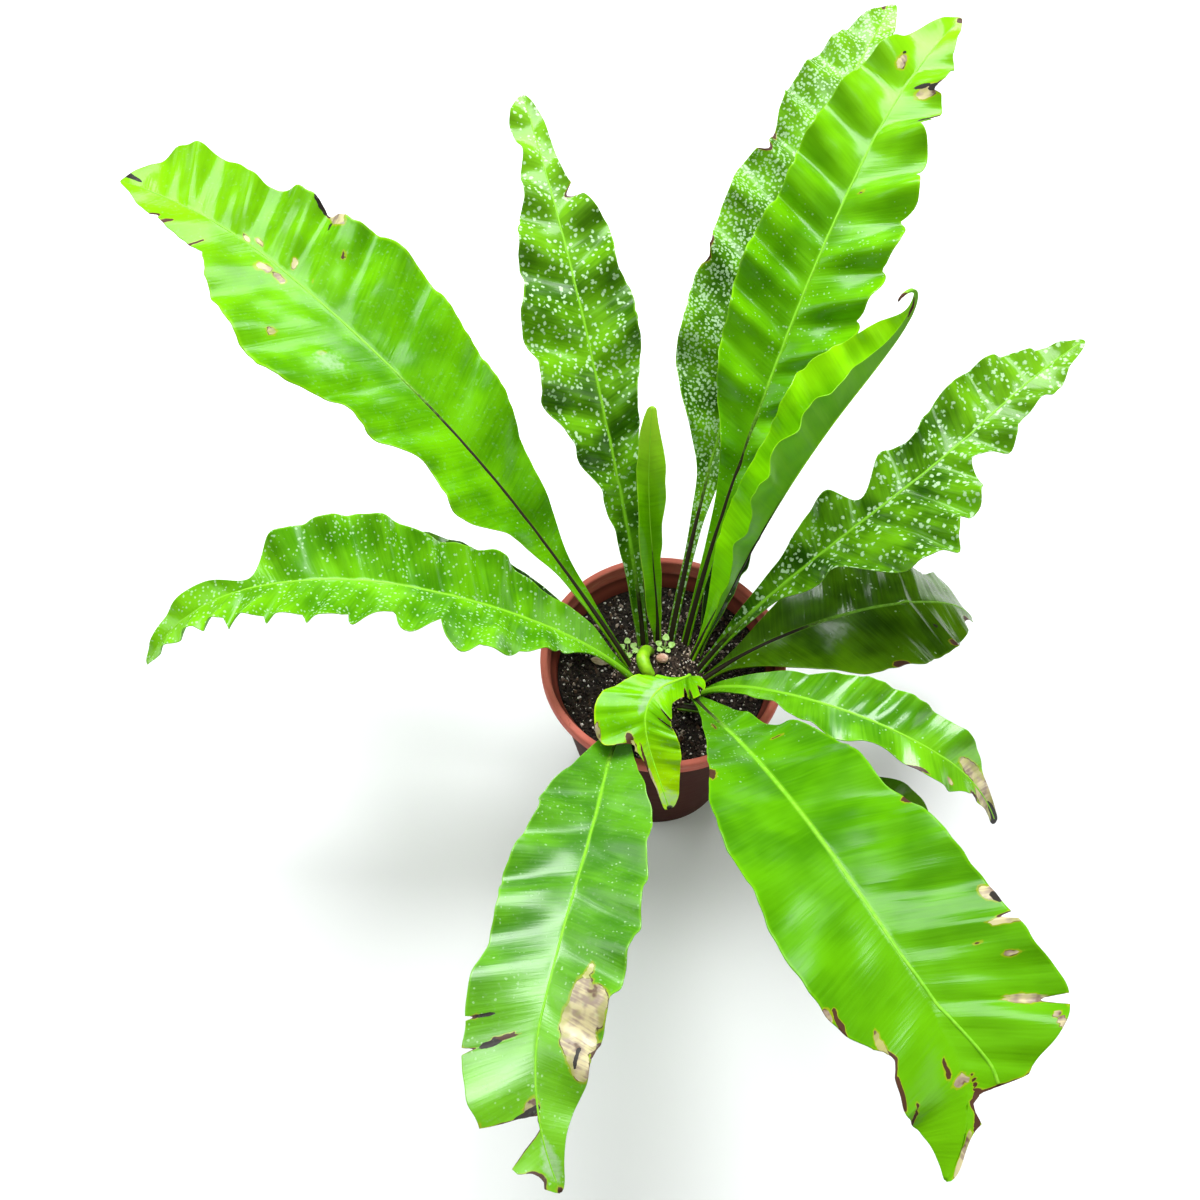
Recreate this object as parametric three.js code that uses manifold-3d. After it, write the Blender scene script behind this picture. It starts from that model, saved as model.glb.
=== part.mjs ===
// Potted bird's nest fern: a rosette of long, ruffled fronds in a 15 cm plastic nursery pot
import * as THREE from 'three';
import { mergeVertices } from 'three/addons/utils/BufferGeometryUtils.js';
import Module from 'manifold-3d';

const wasm = await Module();
wasm.setup();

// Driving dimensions, in millimetres and degrees. The origin is the middle of the pot's
// underside and +Z is up. Headings are measured in plan, anticlockwise from +X.
const CLEARANCE = 0.3;

const POT = {
  height: 138,
  footRadius: 49,
  footRound: 1.5,
  shoulderRadius: 69,
  rimRadius: 75,
  rimDepth: 9,
  rimWidth: 4.6,
  rimRound: 1.6,
  innerStep: 4,
  wall: 2.2,
  floor: 3,
  sides: 40,
  drainHoles: 6,
  drainRadius: 6,
  drainRing: 34,
};

// The potting mix has a gently rippled top with lumps of bark in it
const SOIL = {
  edgeHeight: 118,
  middleHeight: 119.5,
  ripple: 1,
  sides: 32,
  rings: [0.94, 0.86, 0.77, 0.68, 0.59, 0.5],
  lumps: 12,
  lumpRing: [38, 62],
  lumpRadius: [2, 3.4],
  lumpRise: 1.4,
};

// The rootstock is a low dome; its profile holds shares of its radius and of its height above
// the shoulder
const ROOTSTOCK = {
  radius: 31,
  taper: 4,
  bottom: 104,
  waist: 114,
  shoulder: 120,
  top: 133.5,
  dome: [[0.86, 0.38], [0.68, 0.66], [0.46, 0.86], [0.23, 0.97]],
  ripple: 0.8,
  rippleScale: 1.7,
  sides: 24,
};

// How every frond is built: side veins lean towards the tip, the blade is thick at its midrib
// and thin at its margins, and its first part is a narrow stalk
const BLADE = {
  veinLean: 22,
  buried: 8,
  socketReach: 30,
  stalkEnd: 0.3,
  stalkThickness: 4.2,
  stalkMargin: 2.5,
  ribThickness: 2.2,
  ribShare: 0.6,
  marginThickness: 1.1,
  topShare: 0.35,
  rufflePower: 1.6,
  ruffleStart: [0.12, 0.32],
  ruffleFullWidth: 26,
  ruffleWander: 0.3,
  wanderWaves: 1.3,
};

const GREEN = { bright: 0x6fc81e, mid: 0x4fa51f, dark: 0x2f6e1e, young: 0x9bd32a, seedling: 0xb4d96a };
const BROWN = { pot: 0x9c4a3a, soil: 0x1d1713, rootstock: 0x2b211a, chip: 0xc9b98e, pebble: 0xb88a72 };
const ROUGHNESS = { plastic: 0.5, blade: 0.35, earth: 0.95 };

// Each frond has its base on the rootstock, its length along the midrib, headings and rises at
// equal steps from base to tip, fold of the two halves, twist about the midrib, and the length
// of the side veins on the left and right, seen from the base, at equal steps.
const FRONDS = [
  {
    name: 'frond_far_left', colour: GREEN.bright, stations: 46, base: [-22, 0, 130], length: 420,
    heading: [145, 141, 142, 143, 163], rise: [56, 43, 27, 16, 8], fold: [30, 14, 10], twist: [0],
    left: [3, 3, 4, 7, 18, 38, 38, 50, 48, 60, 63, 52, 38, 26, 21, 15, 4],
    right: [3, 3, 5, 9, 18, 26, 39, 45, 54, 58, 57, 50, 43, 41, 42, 30, 4],
    ruffle: { height: 5, waves: 11, phase: [270, 0] },
  },
  {
    name: 'frond_left', colour: GREEN.mid, stations: 48, base: [-20, -10, 129], length: 322,
    heading: [176, 181, 181, 190, 214], rise: [57, 38, 20, -6, -52], fold: [30, 25, 18], twist: [0],
    left: [3, 4, 8, 18, 38, 46, 44, 36, 38, 33, 31, 36, 29, 18, 14, 8, 3],
    right: [3, 6, 14, 19, 24, 34, 32, 31, 37, 35, 33, 20, 8, 9, 11, 7, 3],
    ruffle: { height: 7, waves: 13, phase: [0, 90] },
  },
  {
    name: 'frond_back', colour: GREEN.dark, stations: 46, base: [-12, 14, 132], length: 345,
    heading: [102, 109, 106, 106, 106], rise: [64, 54, 39, 26, 14], fold: [30, 16, 12], twist: [0],
    left: [4, 6, 9, 11, 15, 20, 28, 39, 40, 39, 33, 30, 24, 17, 12, 10, 3],
    right: [4, 4, 5, 7, 10, 14, 20, 24, 30, 31, 28, 27, 20, 10, 7, 5, 3],
    ruffle: { height: 5.5, waves: 11, phase: [315, 135] },
  },
  {
    name: 'frond_young_upright', colour: GREEN.young, stations: 22, base: [-3, 17, 133], length: 150,
    heading: [97, 103, 100, 90, 82], rise: [72, 66, 61, 56, 50], fold: [40, 45, 35], twist: [0],
    left: [3, 6, 9, 11, 12, 12, 12, 12, 12, 11, 11, 10, 10, 9, 8, 6, 3],
    right: [3, 3, 4, 4, 5, 6, 6, 8, 9, 11, 13, 13, 13, 11, 8, 5, 3],
    ruffle: { height: 1, waves: 4, phase: [0, 60] },
  },
  {
    name: 'frond_back_right', colour: GREEN.dark, stations: 44, base: [6, 18, 132], length: 430,
    heading: [74, 71, 69, 63, 61], rise: [55, 44, 31, 20, 8], fold: [30, 14, 12], twist: [0],
    left: [3, 3, 4, 6, 12, 26, 39, 43, 40, 41, 36, 28, 32, 29, 20, 14, 4],
    right: [3, 3, 4, 6, 12, 24, 34, 38, 40, 40, 38, 34, 30, 26, 18, 11, 4],
    ruffle: { height: 5, waves: 12, phase: [180, 0] },
  },
  {
    name: 'frond_tall_right', colour: GREEN.bright, stations: 50, base: [15, 15, 131], length: 410,
    heading: [69, 63, 63, 60, 47], rise: [60, 51, 39, 26, 13], fold: [30, 14, 12], twist: [0],
    left: [3, 3, 4, 6, 10, 20, 34, 39, 43, 42, 38, 39, 37, 33, 27, 16, 4],
    right: [3, 3, 4, 6, 10, 20, 32, 38, 40, 43, 44, 40, 32, 28, 25, 13, 3],
    ruffle: { height: 5, waves: 12, phase: [225, 90] },
  },
  {
    name: 'frond_folded', colour: GREEN.young, stations: 44, base: [20, 4, 131], length: 274,
    heading: [41, 44, 41, 37, 35],
    rise: [66, 63, 60, 56, 51, 46, 40, 34, 215],
    fold: [40, 60, 60], twist: [-20, -50],
    left: [3, 4, 8, 14, 20, 24, 26, 27, 28, 32, 34, 28, 21, 16, 10, 4, 2],
    right: [3, 5, 12, 22, 30, 33, 36, 40, 38, 30, 25, 17, 11, 6, 3, 2, 2],
    ruffle: { height: 2.5, waves: 8, phase: [0, 70] },
  },
  {
    name: 'frond_behind_folded', colour: GREEN.dark, stations: 20, base: [23, 10, 126], length: 175,
    heading: [66, 65, 67, 70, 74], rise: [36, 24, 8, -12, -30], fold: [30, 12], twist: [0],
    left: [3, 4, 8, 12, 15, 17, 18, 19, 19, 18, 17, 16, 14, 12, 9, 6, 3],
    right: [3, 4, 7, 9, 10, 11, 11, 11, 10, 10, 11, 11, 10, 9, 7, 5, 3],
    ruffle: { height: 4, waves: 7, phase: [30, 120] },
  },
  {
    name: 'frond_right_speckled', colour: GREEN.dark, stations: 46, base: [25, -2, 130], length: 308,
    heading: [32, 27, 31, 41, 36], rise: [52, 35, 23, 14, 4], fold: [30, 16, 12], twist: [0],
    left: [3, 4, 7, 10, 14, 23, 28, 17, 26, 27, 30, 32, 30, 26, 18, 11, 4],
    right: [3, 3, 5, 8, 16, 24, 40, 54, 58, 43, 22, 14, 17, 19, 20, 13, 4],
    ruffle: { height: 5.5, waves: 11, phase: [315, 45] },
  },
  {
    name: 'frond_right_blunt', colour: GREEN.dark, stations: 34, base: [28, -8, 126], length: 220,
    heading: [21, 21, 20, 18, 20], rise: [34, 9, -10, -28, -64], fold: [25, -5, -15], twist: [0],
    left: [3, 5, 10, 18, 27, 34, 38, 40, 40, 40, 42, 43, 43, 39, 33, 26, 14],
    right: [3, 6, 18, 32, 41, 45, 47, 48, 46, 44, 41, 38, 33, 27, 24, 18, 10],
    ruffle: { height: 2.5, waves: 5, phase: [225, 0] },
  },
  {
    name: 'frond_right_low', colour: GREEN.mid, stations: 36, base: [26, -18, 124], length: 222,
    heading: [-32, -31, -27, -26, -47], rise: [60, 30, 6, -20, -58], fold: [30, 14, 10], twist: [0],
    left: [3, 4, 5, 6, 9, 12, 17, 21, 22, 23, 22, 20, 19, 17, 12, 7, 3],
    right: [3, 4, 5, 7, 9, 13, 21, 22, 22, 18, 18, 19, 18, 13, 7, 4, 3],
    ruffle: { height: 3, waves: 8, phase: [90, 315] },
  },
  {
    name: 'frond_front_right', colour: GREEN.bright, stations: 48, base: [18, -23, 128], length: 360,
    heading: [-92, -80, -73, -71, -69, -67, -64, -72, -132],
    rise: [55, 50, 45, 37, 28, 16, 4, -8, -20],
    fold: [30, 12, 6], twist: [0],
    left: [3, 5, 8, 11, 15, 20, 34, 38, 38, 40, 46, 44, 43, 50, 14, 4, 3],
    right: [3, 3, 4, 8, 14, 21, 30, 40, 44, 47, 48, 47, 38, 26, 28, 20, 3],
    ruffle: { height: 3.5, waves: 9, phase: [315, 270] },
  },
  {
    name: 'frond_front_left', colour: GREEN.mid, stations: 44, base: [-11, -24, 127], length: 305,
    heading: [238, 261, 257, 258, 297], rise: [22, 26, 20, 3, -18], fold: [30, 12, 8], twist: [0],
    left: [3, 4, 7, 15, 22, 29, 34, 36, 37, 37, 37, 33, 32, 27, 15, 9, 4],
    right: [3, 4, 6, 11, 18, 26, 32, 36, 38, 37, 34, 37, 32, 27, 26, 18, 4],
    ruffle: { height: 3.5, waves: 9, phase: [45, 90] },
  },
  {
    name: 'frond_front_small', colour: GREEN.young, stations: 32, base: [12, -17, 130], length: 130,
    heading: [340, 285, 232, 212, 238, 275, 292, 293, 292],
    rise: [83, 72, 46, 18, -8, -31, -36, -33, -34],
    fold: [0, -40, 4, 18, 10], twist: [0],
    left: [3, 4, 8, 13, 14, 10, 8, 12, 15, 17, 19, 19, 17, 14, 11, 8, 3],
    right: [3, 3, 4, 6, 9, 12, 15, 20, 26, 28, 24, 12, 10, 9, 7, 5, 3],
    ruffle: { height: 2, waves: 7, phase: [0, 90] },
  },
  {
    name: 'frond_under_right', colour: GREEN.dark, stations: 16, base: [11, -27, 122], length: 165,
    heading: [-24, -35, -36, -30, -22], rise: [30, 25, 6, -14, -24], fold: [25, 8], twist: [0],
    left: [3, 4, 6, 9, 12, 15, 17, 18, 18, 18, 18, 17, 17, 16, 14, 11, 5],
    right: [3, 4, 6, 9, 12, 15, 17, 18, 18, 18, 18, 17, 16, 15, 12, 9, 4],
    ruffle: { height: 3, waves: 5, phase: [0, 100] },
  },
  {
    name: 'frond_under_left', colour: GREEN.dark, stations: 16, base: [-27, 4, 124], length: 172,
    heading: [152, 154, 152, 148, 143], rise: [26, 18, 8, -2, -10], fold: [25, 8], twist: [0],
    left: [3, 4, 6, 9, 12, 15, 17, 18, 18, 18, 17, 16, 15, 13, 11, 8, 4],
    right: [3, 4, 6, 9, 12, 15, 17, 18, 18, 18, 17, 16, 15, 13, 11, 8, 4],
    ruffle: { height: 3, waves: 5, phase: [60, 0] },
  },
];

// A young frond still curled up
const CROSIER = {
  route: [[-6, 7, 129], [-10, 4, 138], [-12.5, -4, 142], [-10.5, -11, 141], [-6, -14.5, 138]],
  radii: [2.6, 3.3, 3.9, 4.1, 3.6, 1.8],
  startRound: 0.4,
  endRound: 0.5,
  sides: 8,
  steps: 10,
};

// Two tufts of seedlings: round leaves on thin stalks that spread from a small root. Every
// second leaf stands lower and further out.
const SEEDLING = {
  rootRadius: 2.2,
  stalkRadii: [0.5, 0.4],
  lowShare: 0.8,
  tallReach: 0.45,
  leafShape: [1.1, 1, 0.4],
  leafTilt: 20,
};
const SEEDLINGS = [
  { name: 'seedlings_left', root: [-21, 9.5, 127], leaves: 6, turn: 35, stalk: 4.6, leaf: 2.1 },
  { name: 'seedlings_back', root: [1.5, 8.5, 132.5], leaves: 5, turn: 10, stalk: 4.5, leaf: 2 },
];

// A dry leaf chip that lies on the soil and a pebble that lies on the rootstock
const LEAF_CHIP = { centre: [-38, 7], length: 13, width: 7.5, thickness: 0.8, turn: -12 };
const PEBBLE = { centre: [-0.5, -1], size: [4, 3.2, 2.6] };

const rad = THREE.MathUtils.degToRad;
const { clamp, lerp, smoothstep } = THREE.MathUtils;

// The value of a list of equally spaced samples at a place from 0 to 1
function sample(list, place) {
  const last = list.length - 1;
  if (last === 0) return list[0];
  const spot = clamp(place, 0, 1) * last;
  const index = Math.min(Math.floor(spot), last - 1);
  return lerp(list[index], list[index + 1], spot - index);
}

// The same as sample, but rounded through its values, for the outline of a blade
function smoothSample(list, place) {
  const last = list.length - 1;
  const spot = clamp(place, 0, 1) * last;
  const index = Math.min(Math.floor(spot), last - 1);
  const [a, b, c, d] = [-1, 0, 1, 2].map((step) => list[clamp(index + step, 0, last)]);
  const u = spot - index;
  const bend = (2 * a - 5 * b + 4 * c - d) * u * u + (3 * b - a - 3 * c + d) * u * u * u;
  return b + 0.5 * ((c - a) * u + bend);
}

// The directions of a frond at a place along it: along the midrib, to its left and up from it
function frondAxes(frond, place) {
  const heading = rad(sample(frond.heading, place));
  const rise = rad(sample(frond.rise, place));
  const twist = rad(sample(frond.twist, place));
  const along = new THREE.Vector3(
    Math.cos(rise) * Math.cos(heading), Math.cos(rise) * Math.sin(heading), Math.sin(rise));
  const level = new THREE.Vector3(-Math.sin(heading), Math.cos(heading), 0);
  const upright = new THREE.Vector3().crossVectors(along, level);
  const left = level.clone().multiplyScalar(Math.cos(twist)).addScaledVector(upright, Math.sin(twist));
  const up = upright.clone().multiplyScalar(Math.cos(twist)).addScaledVector(level, -Math.sin(twist));
  return { along, left, up };
}

// Points along the midrib at equal steps, found by walking out from the base
function midribPoints(frond) {
  const points = [new THREE.Vector3(...frond.base)];
  const step = frond.length / frond.stations;
  for (let i = 0; i < frond.stations; i += 1) {
    const { along } = frondAxes(frond, (i + 0.5) / frond.stations);
    points.push(points[i].clone().addScaledVector(along, step));
  }
  return points;
}

// Height of the ruffle at a place along the margin of one half
function ruffleHeight(frond, place, vein, side) {
  const { height, waves, phase } = frond.ruffle;
  const turn = rad(side > 0 ? phase[0] : phase[1]);
  const wander = BLADE.ruffleWander * Math.sin(2 * Math.PI * BLADE.wanderWaves * place + 2 * turn);
  const fade = smoothstep(place, ...BLADE.ruffleStart) * Math.min(1, vein / BLADE.ruffleFullWidth);
  return height * fade * Math.sin(2 * Math.PI * (waves * place + wander) + turn);
}

// One row of five points across a frond, from its left margin to its right margin, on the
// top and on the underside. Grow makes the whole row larger, for the socket that holds it.
function frondRow(frond, middle, place, grow) {
  const { along, left, up } = frondAxes(frond, place);
  const fold = rad(sample(frond.fold, place));
  const lean = rad(BLADE.veinLean);
  const stalk = 1 - smoothstep(place, 0, BLADE.stalkEnd);
  const blade = lerp(BLADE.ribThickness, BLADE.marginThickness, place);
  const rib = lerp(blade, BLADE.stalkThickness, stalk);
  const margin = lerp(BLADE.marginThickness, BLADE.stalkMargin, stalk * stalk);
  const top = [];
  const under = [];
  for (const across of [1, 0.5, 0, -0.5, -1]) {
    const side = Math.sign(across) || 1;
    const share = Math.abs(across);
    const vein = smoothSample(side > 0 ? frond.left : frond.right, place) + grow;
    const outward = left.clone().multiplyScalar(side * Math.cos(fold)).addScaledVector(up, Math.sin(fold));
    const normal = up.clone().multiplyScalar(Math.cos(fold)).addScaledVector(left, -side * Math.sin(fold));
    const row = outward.clone().multiplyScalar(Math.cos(lean)).addScaledVector(along, Math.sin(lean));
    const lift = ruffleHeight(frond, place, vein, side) * share ** BLADE.rufflePower;
    const point = middle.clone().addScaledVector(row, vein * share).addScaledVector(normal, lift);
    const face = share === 0 ? up : normal;
    const thickness = lerp(rib, margin, Math.min(1, share / BLADE.ribShare)) + 2 * grow;
    top.push(point.clone().addScaledVector(face, thickness * BLADE.topShare));
    under.push(point.clone().addScaledVector(face, thickness * (BLADE.topShare - 1)));
  }
  return { top, under };
}

// Closes a run of rows into one solid blade, with the same diagonals on both faces
function bladeGeometry(rows) {
  const columns = rows[0].top.length;
  const edge = columns - 1;
  const tip = rows.length - 1;
  const positions = rows.flatMap((row) => [...row.top, ...row.under]).flatMap((p) => [p.x, p.y, p.z]);
  const topAt = (row, column) => row * columns * 2 + column;
  const underAt = (row, column) => topAt(row, column) + columns;
  const faces = [];
  const quad = (a, b, c, d) => faces.push(a, b, c, a, c, d);
  for (let row = 0; row < tip; row += 1) {
    for (let column = 0; column < edge; column += 1) {
      const corners = [[row, column], [row, column + 1], [row + 1, column + 1], [row + 1, column]];
      const [a, b, c, d] = corners.map((corner) => topAt(...corner));
      const [e, f, g, h] = corners.map((corner) => underAt(...corner));
      if (column < edge / 2) {
        quad(a, b, c, d);
        quad(g, f, e, h);
      } else {
        quad(b, c, d, a);
        quad(h, g, f, e);
      }
    }
    quad(topAt(row, 0), topAt(row + 1, 0), underAt(row + 1, 0), underAt(row, 0));
    quad(topAt(row, edge), underAt(row, edge), underAt(row + 1, edge), topAt(row + 1, edge));
  }
  for (let column = 0; column < edge; column += 1) {
    quad(topAt(0, column), underAt(0, column), underAt(0, column + 1), topAt(0, column + 1));
    quad(topAt(tip, column), topAt(tip, column + 1), underAt(tip, column + 1), underAt(tip, column));
  }
  return indexedGeometry(positions, faces);
}

function indexedGeometry(positions, faces) {
  const geometry = new THREE.BufferGeometry();
  geometry.setAttribute('position', new THREE.Float32BufferAttribute(positions, 3));
  geometry.setIndex(faces);
  return geometry;
}

// The rows of a frond, starting with the end of its stalk inside the rootstock
function frondRows(frond, grow = 0) {
  const points = midribPoints(frond);
  const { along } = frondAxes(frond, 0);
  const root = points[0].clone().addScaledVector(along, -(BLADE.buried + grow));
  const rows = [frondRow(frond, root, 0, grow)];
  points.forEach((point, i) => rows.push(frondRow(frond, point, i / frond.stations, grow)));
  return rows;
}

// The plain socket that a stalk stands in
function socketGeometry(frond) {
  const reach = Math.ceil((BLADE.socketReach / frond.length) * frond.stations) + 2;
  return bladeGeometry(frondRows(frond, CLEARANCE).slice(0, reach));
}

// A rounded shoot along a curve, thicker or thinner along its length, closed at both ends
function shootGeometry(points, radii, sides, steps) {
  const curve = new THREE.CatmullRomCurve3(points.map((p) => new THREE.Vector3(...p)));
  const { tangents, normals, binormals } = curve.computeFrenetFrames(steps, false);
  const positions = [];
  const faces = [];
  for (let i = 0; i <= steps; i += 1) {
    const centre = curve.getPointAt(i / steps);
    const radius = sample(radii, i / steps);
    for (let j = 0; j < sides; j += 1) {
      const angle = (j / sides) * 2 * Math.PI;
      const point = centre.clone().addScaledVector(normals[i], radius * Math.cos(angle));
      point.addScaledVector(binormals[i], radius * Math.sin(angle));
      positions.push(point.x, point.y, point.z);
      if (i === steps) continue;
      const here = i * sides + j;
      const next = i * sides + ((j + 1) % sides);
      faces.push(here, next, next + sides, here, next + sides, here + sides);
    }
  }
  const start = curve.getPointAt(0).addScaledVector(tangents[0], -radii[0] * CROSIER.startRound);
  const lastRadius = radii[radii.length - 1];
  const end = curve.getPointAt(1).addScaledVector(tangents[steps], lastRadius * CROSIER.endRound);
  positions.push(start.x, start.y, start.z, end.x, end.y, end.z);
  const startIndex = (steps + 1) * sides;
  for (let j = 0; j < sides; j += 1) {
    const next = (j + 1) % sides;
    faces.push(startIndex, next, j, startIndex + 1, steps * sides + j, steps * sides + next);
  }
  return indexedGeometry(positions, faces);
}

// A closed solid from a geometry, and a geometry from a closed solid
function toSolid(geometry) {
  const bare = geometry.clone();
  bare.deleteAttribute('normal');
  bare.deleteAttribute('uv');
  const merged = mergeVertices(bare, 1e-4);
  return new wasm.Manifold(new wasm.Mesh({
    numProp: 3,
    vertProperties: new Float32Array(merged.attributes.position.array),
    triVerts: new Uint32Array(merged.index.array),
  }));
}

function toGeometry(solid) {
  const mesh = solid.getMesh();
  return indexedGeometry(Array.from(mesh.vertProperties), Array.from(mesh.triVerts));
}

// A turned shape with its axis along Z, from radius and height pairs that start and end on the axis
function turned(profile, sides) {
  const geometry = new THREE.LatheGeometry(profile.map(([r, z]) => new THREE.Vector2(r, z)), sides);
  geometry.rotateX(Math.PI / 2);
  return geometry;
}

// Raises the upper surface of a turned shape by a formula
function raiseTop(geometry, fromHeight, relief) {
  const place = geometry.attributes.position;
  for (let i = 0; i < place.count; i += 1) {
    const [x, y, z] = [place.getX(i), place.getY(i), place.getZ(i)];
    if (z > fromHeight) place.setZ(i, z + relief(x, y));
  }
  return geometry;
}

// Two crossing sets of low waves, about 20 mm and 6 mm long
function earthRelief(x, y, height) {
  const long = Math.sin(x * 0.31 + 1) * Math.cos(y * 0.27);
  const short = Math.sin(x * 0.83 + y * 0.67);
  return height * (long + 0.6 * short);
}

// Repeatable draws between 0 and 1
function seededDraws(seed) {
  const range = 2 ** 32;
  let state = seed;
  return () => {
    state = (state * 1664525 + 1013904223) % range;
    return state / range;
  };
}

function potInnerRadius(height) {
  const outer = lerp(POT.footRadius, POT.shoulderRadius, height / (POT.height - POT.rimDepth));
  return outer - POT.wall;
}

// A tapered cup with a rolled rim that steps out, and drain holes in its floor
function potGeometry() {
  const lipBottom = POT.height - POT.rimDepth;
  const rimInner = POT.rimRadius - POT.rimWidth;
  const stepHeight = lipBottom - POT.innerStep;
  const profile = [
    [0, 0],
    [POT.footRadius - POT.footRound, 0],
    [POT.footRadius, POT.footRound],
    [POT.shoulderRadius, lipBottom - 1],
    [POT.rimRadius - POT.rimRound, lipBottom],
    [POT.rimRadius, lipBottom + POT.rimRound],
    [POT.rimRadius, POT.height - POT.rimRound],
    [POT.rimRadius - 0.5 * POT.rimRound, POT.height - 0.3],
    [POT.rimRadius - 1.3 * POT.rimRound, POT.height],
    [rimInner + POT.rimRound, POT.height],
    [rimInner, POT.height - POT.rimRound],
    [potInnerRadius(stepHeight), stepHeight],
    [potInnerRadius(POT.floor), POT.floor],
    [0, POT.floor],
  ];
  let pot = toSolid(turned(profile, POT.sides));
  for (let i = 0; i < POT.drainHoles; i += 1) {
    const angle = (i / POT.drainHoles) * 2 * Math.PI;
    const hole = new THREE.CylinderGeometry(POT.drainRadius, POT.drainRadius, POT.floor * 3, 16);
    hole.rotateX(Math.PI / 2);
    hole.translate(POT.drainRing * Math.cos(angle), POT.drainRing * Math.sin(angle), POT.floor / 2);
    pot = pot.subtract(toSolid(hole));
  }
  return toGeometry(pot);
}

function rootstockBlank(grow = 0) {
  const { radius, taper, bottom, waist, shoulder, top, dome, sides } = ROOTSTOCK;
  const profile = [
    [0, bottom - grow],
    [radius - taper + grow, bottom - grow],
    [radius + grow, waist],
    [radius + grow, shoulder + grow],
    ...dome.map(([r, z]) => [radius * r, shoulder + grow + (top - shoulder) * z]),
    [0, top + grow],
  ];
  return turned(profile, sides);
}

function crosierGeometry(grow = 0) {
  return shootGeometry(CROSIER.route, CROSIER.radii.map((r) => r + grow), CROSIER.sides, CROSIER.steps);
}

function ballGeometry(radius, centre) {
  const ball = new THREE.OctahedronGeometry(radius, 1);
  ball.translate(...centre);
  return ball;
}

// One tuft of seedlings, joined into one solid
function seedlingSolid(tuft) {
  let solid = toSolid(ballGeometry(SEEDLING.rootRadius, tuft.root));
  for (let i = 0; i < tuft.leaves; i += 1) {
    const angle = rad(tuft.turn) + (i / tuft.leaves) * 2 * Math.PI;
    const isTall = i % 2 === 1;
    const rise = tuft.stalk * (isTall ? 1 : SEEDLING.lowShare);
    const reach = rise * (isTall ? SEEDLING.tallReach : 1);
    const end = new THREE.Vector3(reach * Math.cos(angle), reach * Math.sin(angle), rise);
    end.add(new THREE.Vector3(...tuft.root));
    const stalk = shootGeometry([tuft.root, end.toArray()], SEEDLING.stalkRadii, 3, 1);
    const leaf = new THREE.OctahedronGeometry(tuft.leaf, 1);
    leaf.scale(...SEEDLING.leafShape);
    leaf.rotateY(rad(SEEDLING.leafTilt));
    leaf.rotateZ(angle);
    leaf.translate(end.x, end.y, end.z);
    solid = solid.add(toSolid(stalk)).add(toSolid(leaf));
  }
  return solid;
}

// A flat chip with one pointed and one blunt end
function leafChipGeometry() {
  const { centre, length, width, thickness, turn } = LEAF_CHIP;
  const outline = new THREE.Shape();
  outline.moveTo(-length / 2, 0);
  outline.quadraticCurveTo(-length / 6, width * 0.75, length / 2, width * 0.2);
  outline.lineTo(length * 0.42, -width * 0.2);
  outline.quadraticCurveTo(-length / 6, -width * 0.7, -length / 2, 0);
  const options = { depth: thickness, bevelEnabled: false, curveSegments: 5 };
  const chip = new THREE.ExtrudeGeometry(outline, options);
  chip.rotateZ(rad(turn));
  chip.translate(...centre, 0);
  return chip;
}

function pebbleGeometry() {
  const pebble = new THREE.IcosahedronGeometry(1, 1);
  pebble.scale(...PEBBLE.size);
  pebble.translate(...PEBBLE.centre, 0);
  return pebble;
}

// The height at which a loose piece rests a clearance above what lies under it, found by
// lowering it in small steps until it touches
function seatHeight(geometry, solid) {
  const piece = toSolid(geometry);
  const step = 0.1;
  const touches = (height) => !solid.intersect(piece.translate([0, 0, height])).isEmpty();
  let height = solid.boundingBox().max[2] - piece.boundingBox().min[2];
  while (!touches(height - step)) height -= step;
  return height + CLEARANCE;
}

// The potting mix fills the pot to below its rim, round the rootstock and the stalks
function soilGeometry() {
  const bottom = POT.floor + CLEARANCE;
  const outer = (height) => potInnerRadius(height) - CLEARANCE;
  const rings = SOIL.rings.map((share) => [
    outer(SOIL.edgeHeight) * share,
    lerp(SOIL.middleHeight, SOIL.edgeHeight, smoothstep(share, 0.5, 1)),
  ]);
  const profile = [
    [0, bottom],
    [outer(bottom), bottom],
    [outer(SOIL.edgeHeight), SOIL.edgeHeight],
    ...rings,
    [0, SOIL.middleHeight],
  ];
  const bed = turned(profile, SOIL.sides);
  raiseTop(bed, SOIL.edgeHeight + 0.01, (x, y) => earthRelief(x, y, SOIL.ripple));
  let soil = toSolid(bed);
  const draw = seededDraws(7);
  for (let i = 0; i < SOIL.lumps; i += 1) {
    const angle = draw() * 2 * Math.PI;
    const distance = lerp(...SOIL.lumpRing, draw());
    const lump = new THREE.OctahedronGeometry(lerp(...SOIL.lumpRadius, draw()));
    lump.rotateX(draw() * Math.PI);
    const height = SOIL.edgeHeight + SOIL.lumpRise;
    lump.translate(distance * Math.cos(angle), distance * Math.sin(angle), height);
    soil = soil.add(toSolid(lump));
  }
  soil = soil.subtract(toSolid(rootstockBlank(CLEARANCE)));
  for (const frond of FRONDS) soil = soil.subtract(toSolid(socketGeometry(frond)));
  return toGeometry(soil);
}

// The rootstock has a plain socket for each stalk, the crosier and the seedlings' roots
function rootstockGeometry() {
  const { shoulder, ripple, rippleScale } = ROOTSTOCK;
  const mound = rootstockBlank();
  raiseTop(mound, shoulder + 1, (x, y) => earthRelief(x * rippleScale, y * rippleScale, ripple));
  let solid = toSolid(mound);
  for (const frond of FRONDS) solid = solid.subtract(toSolid(socketGeometry(frond)));
  solid = solid.subtract(toSolid(crosierGeometry(CLEARANCE)));
  const rootHollow = SEEDLING.rootRadius + 2 * CLEARANCE;
  for (const tuft of SEEDLINGS) solid = solid.subtract(toSolid(ballGeometry(rootHollow, tuft.root)));
  return toGeometry(solid);
}

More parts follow.
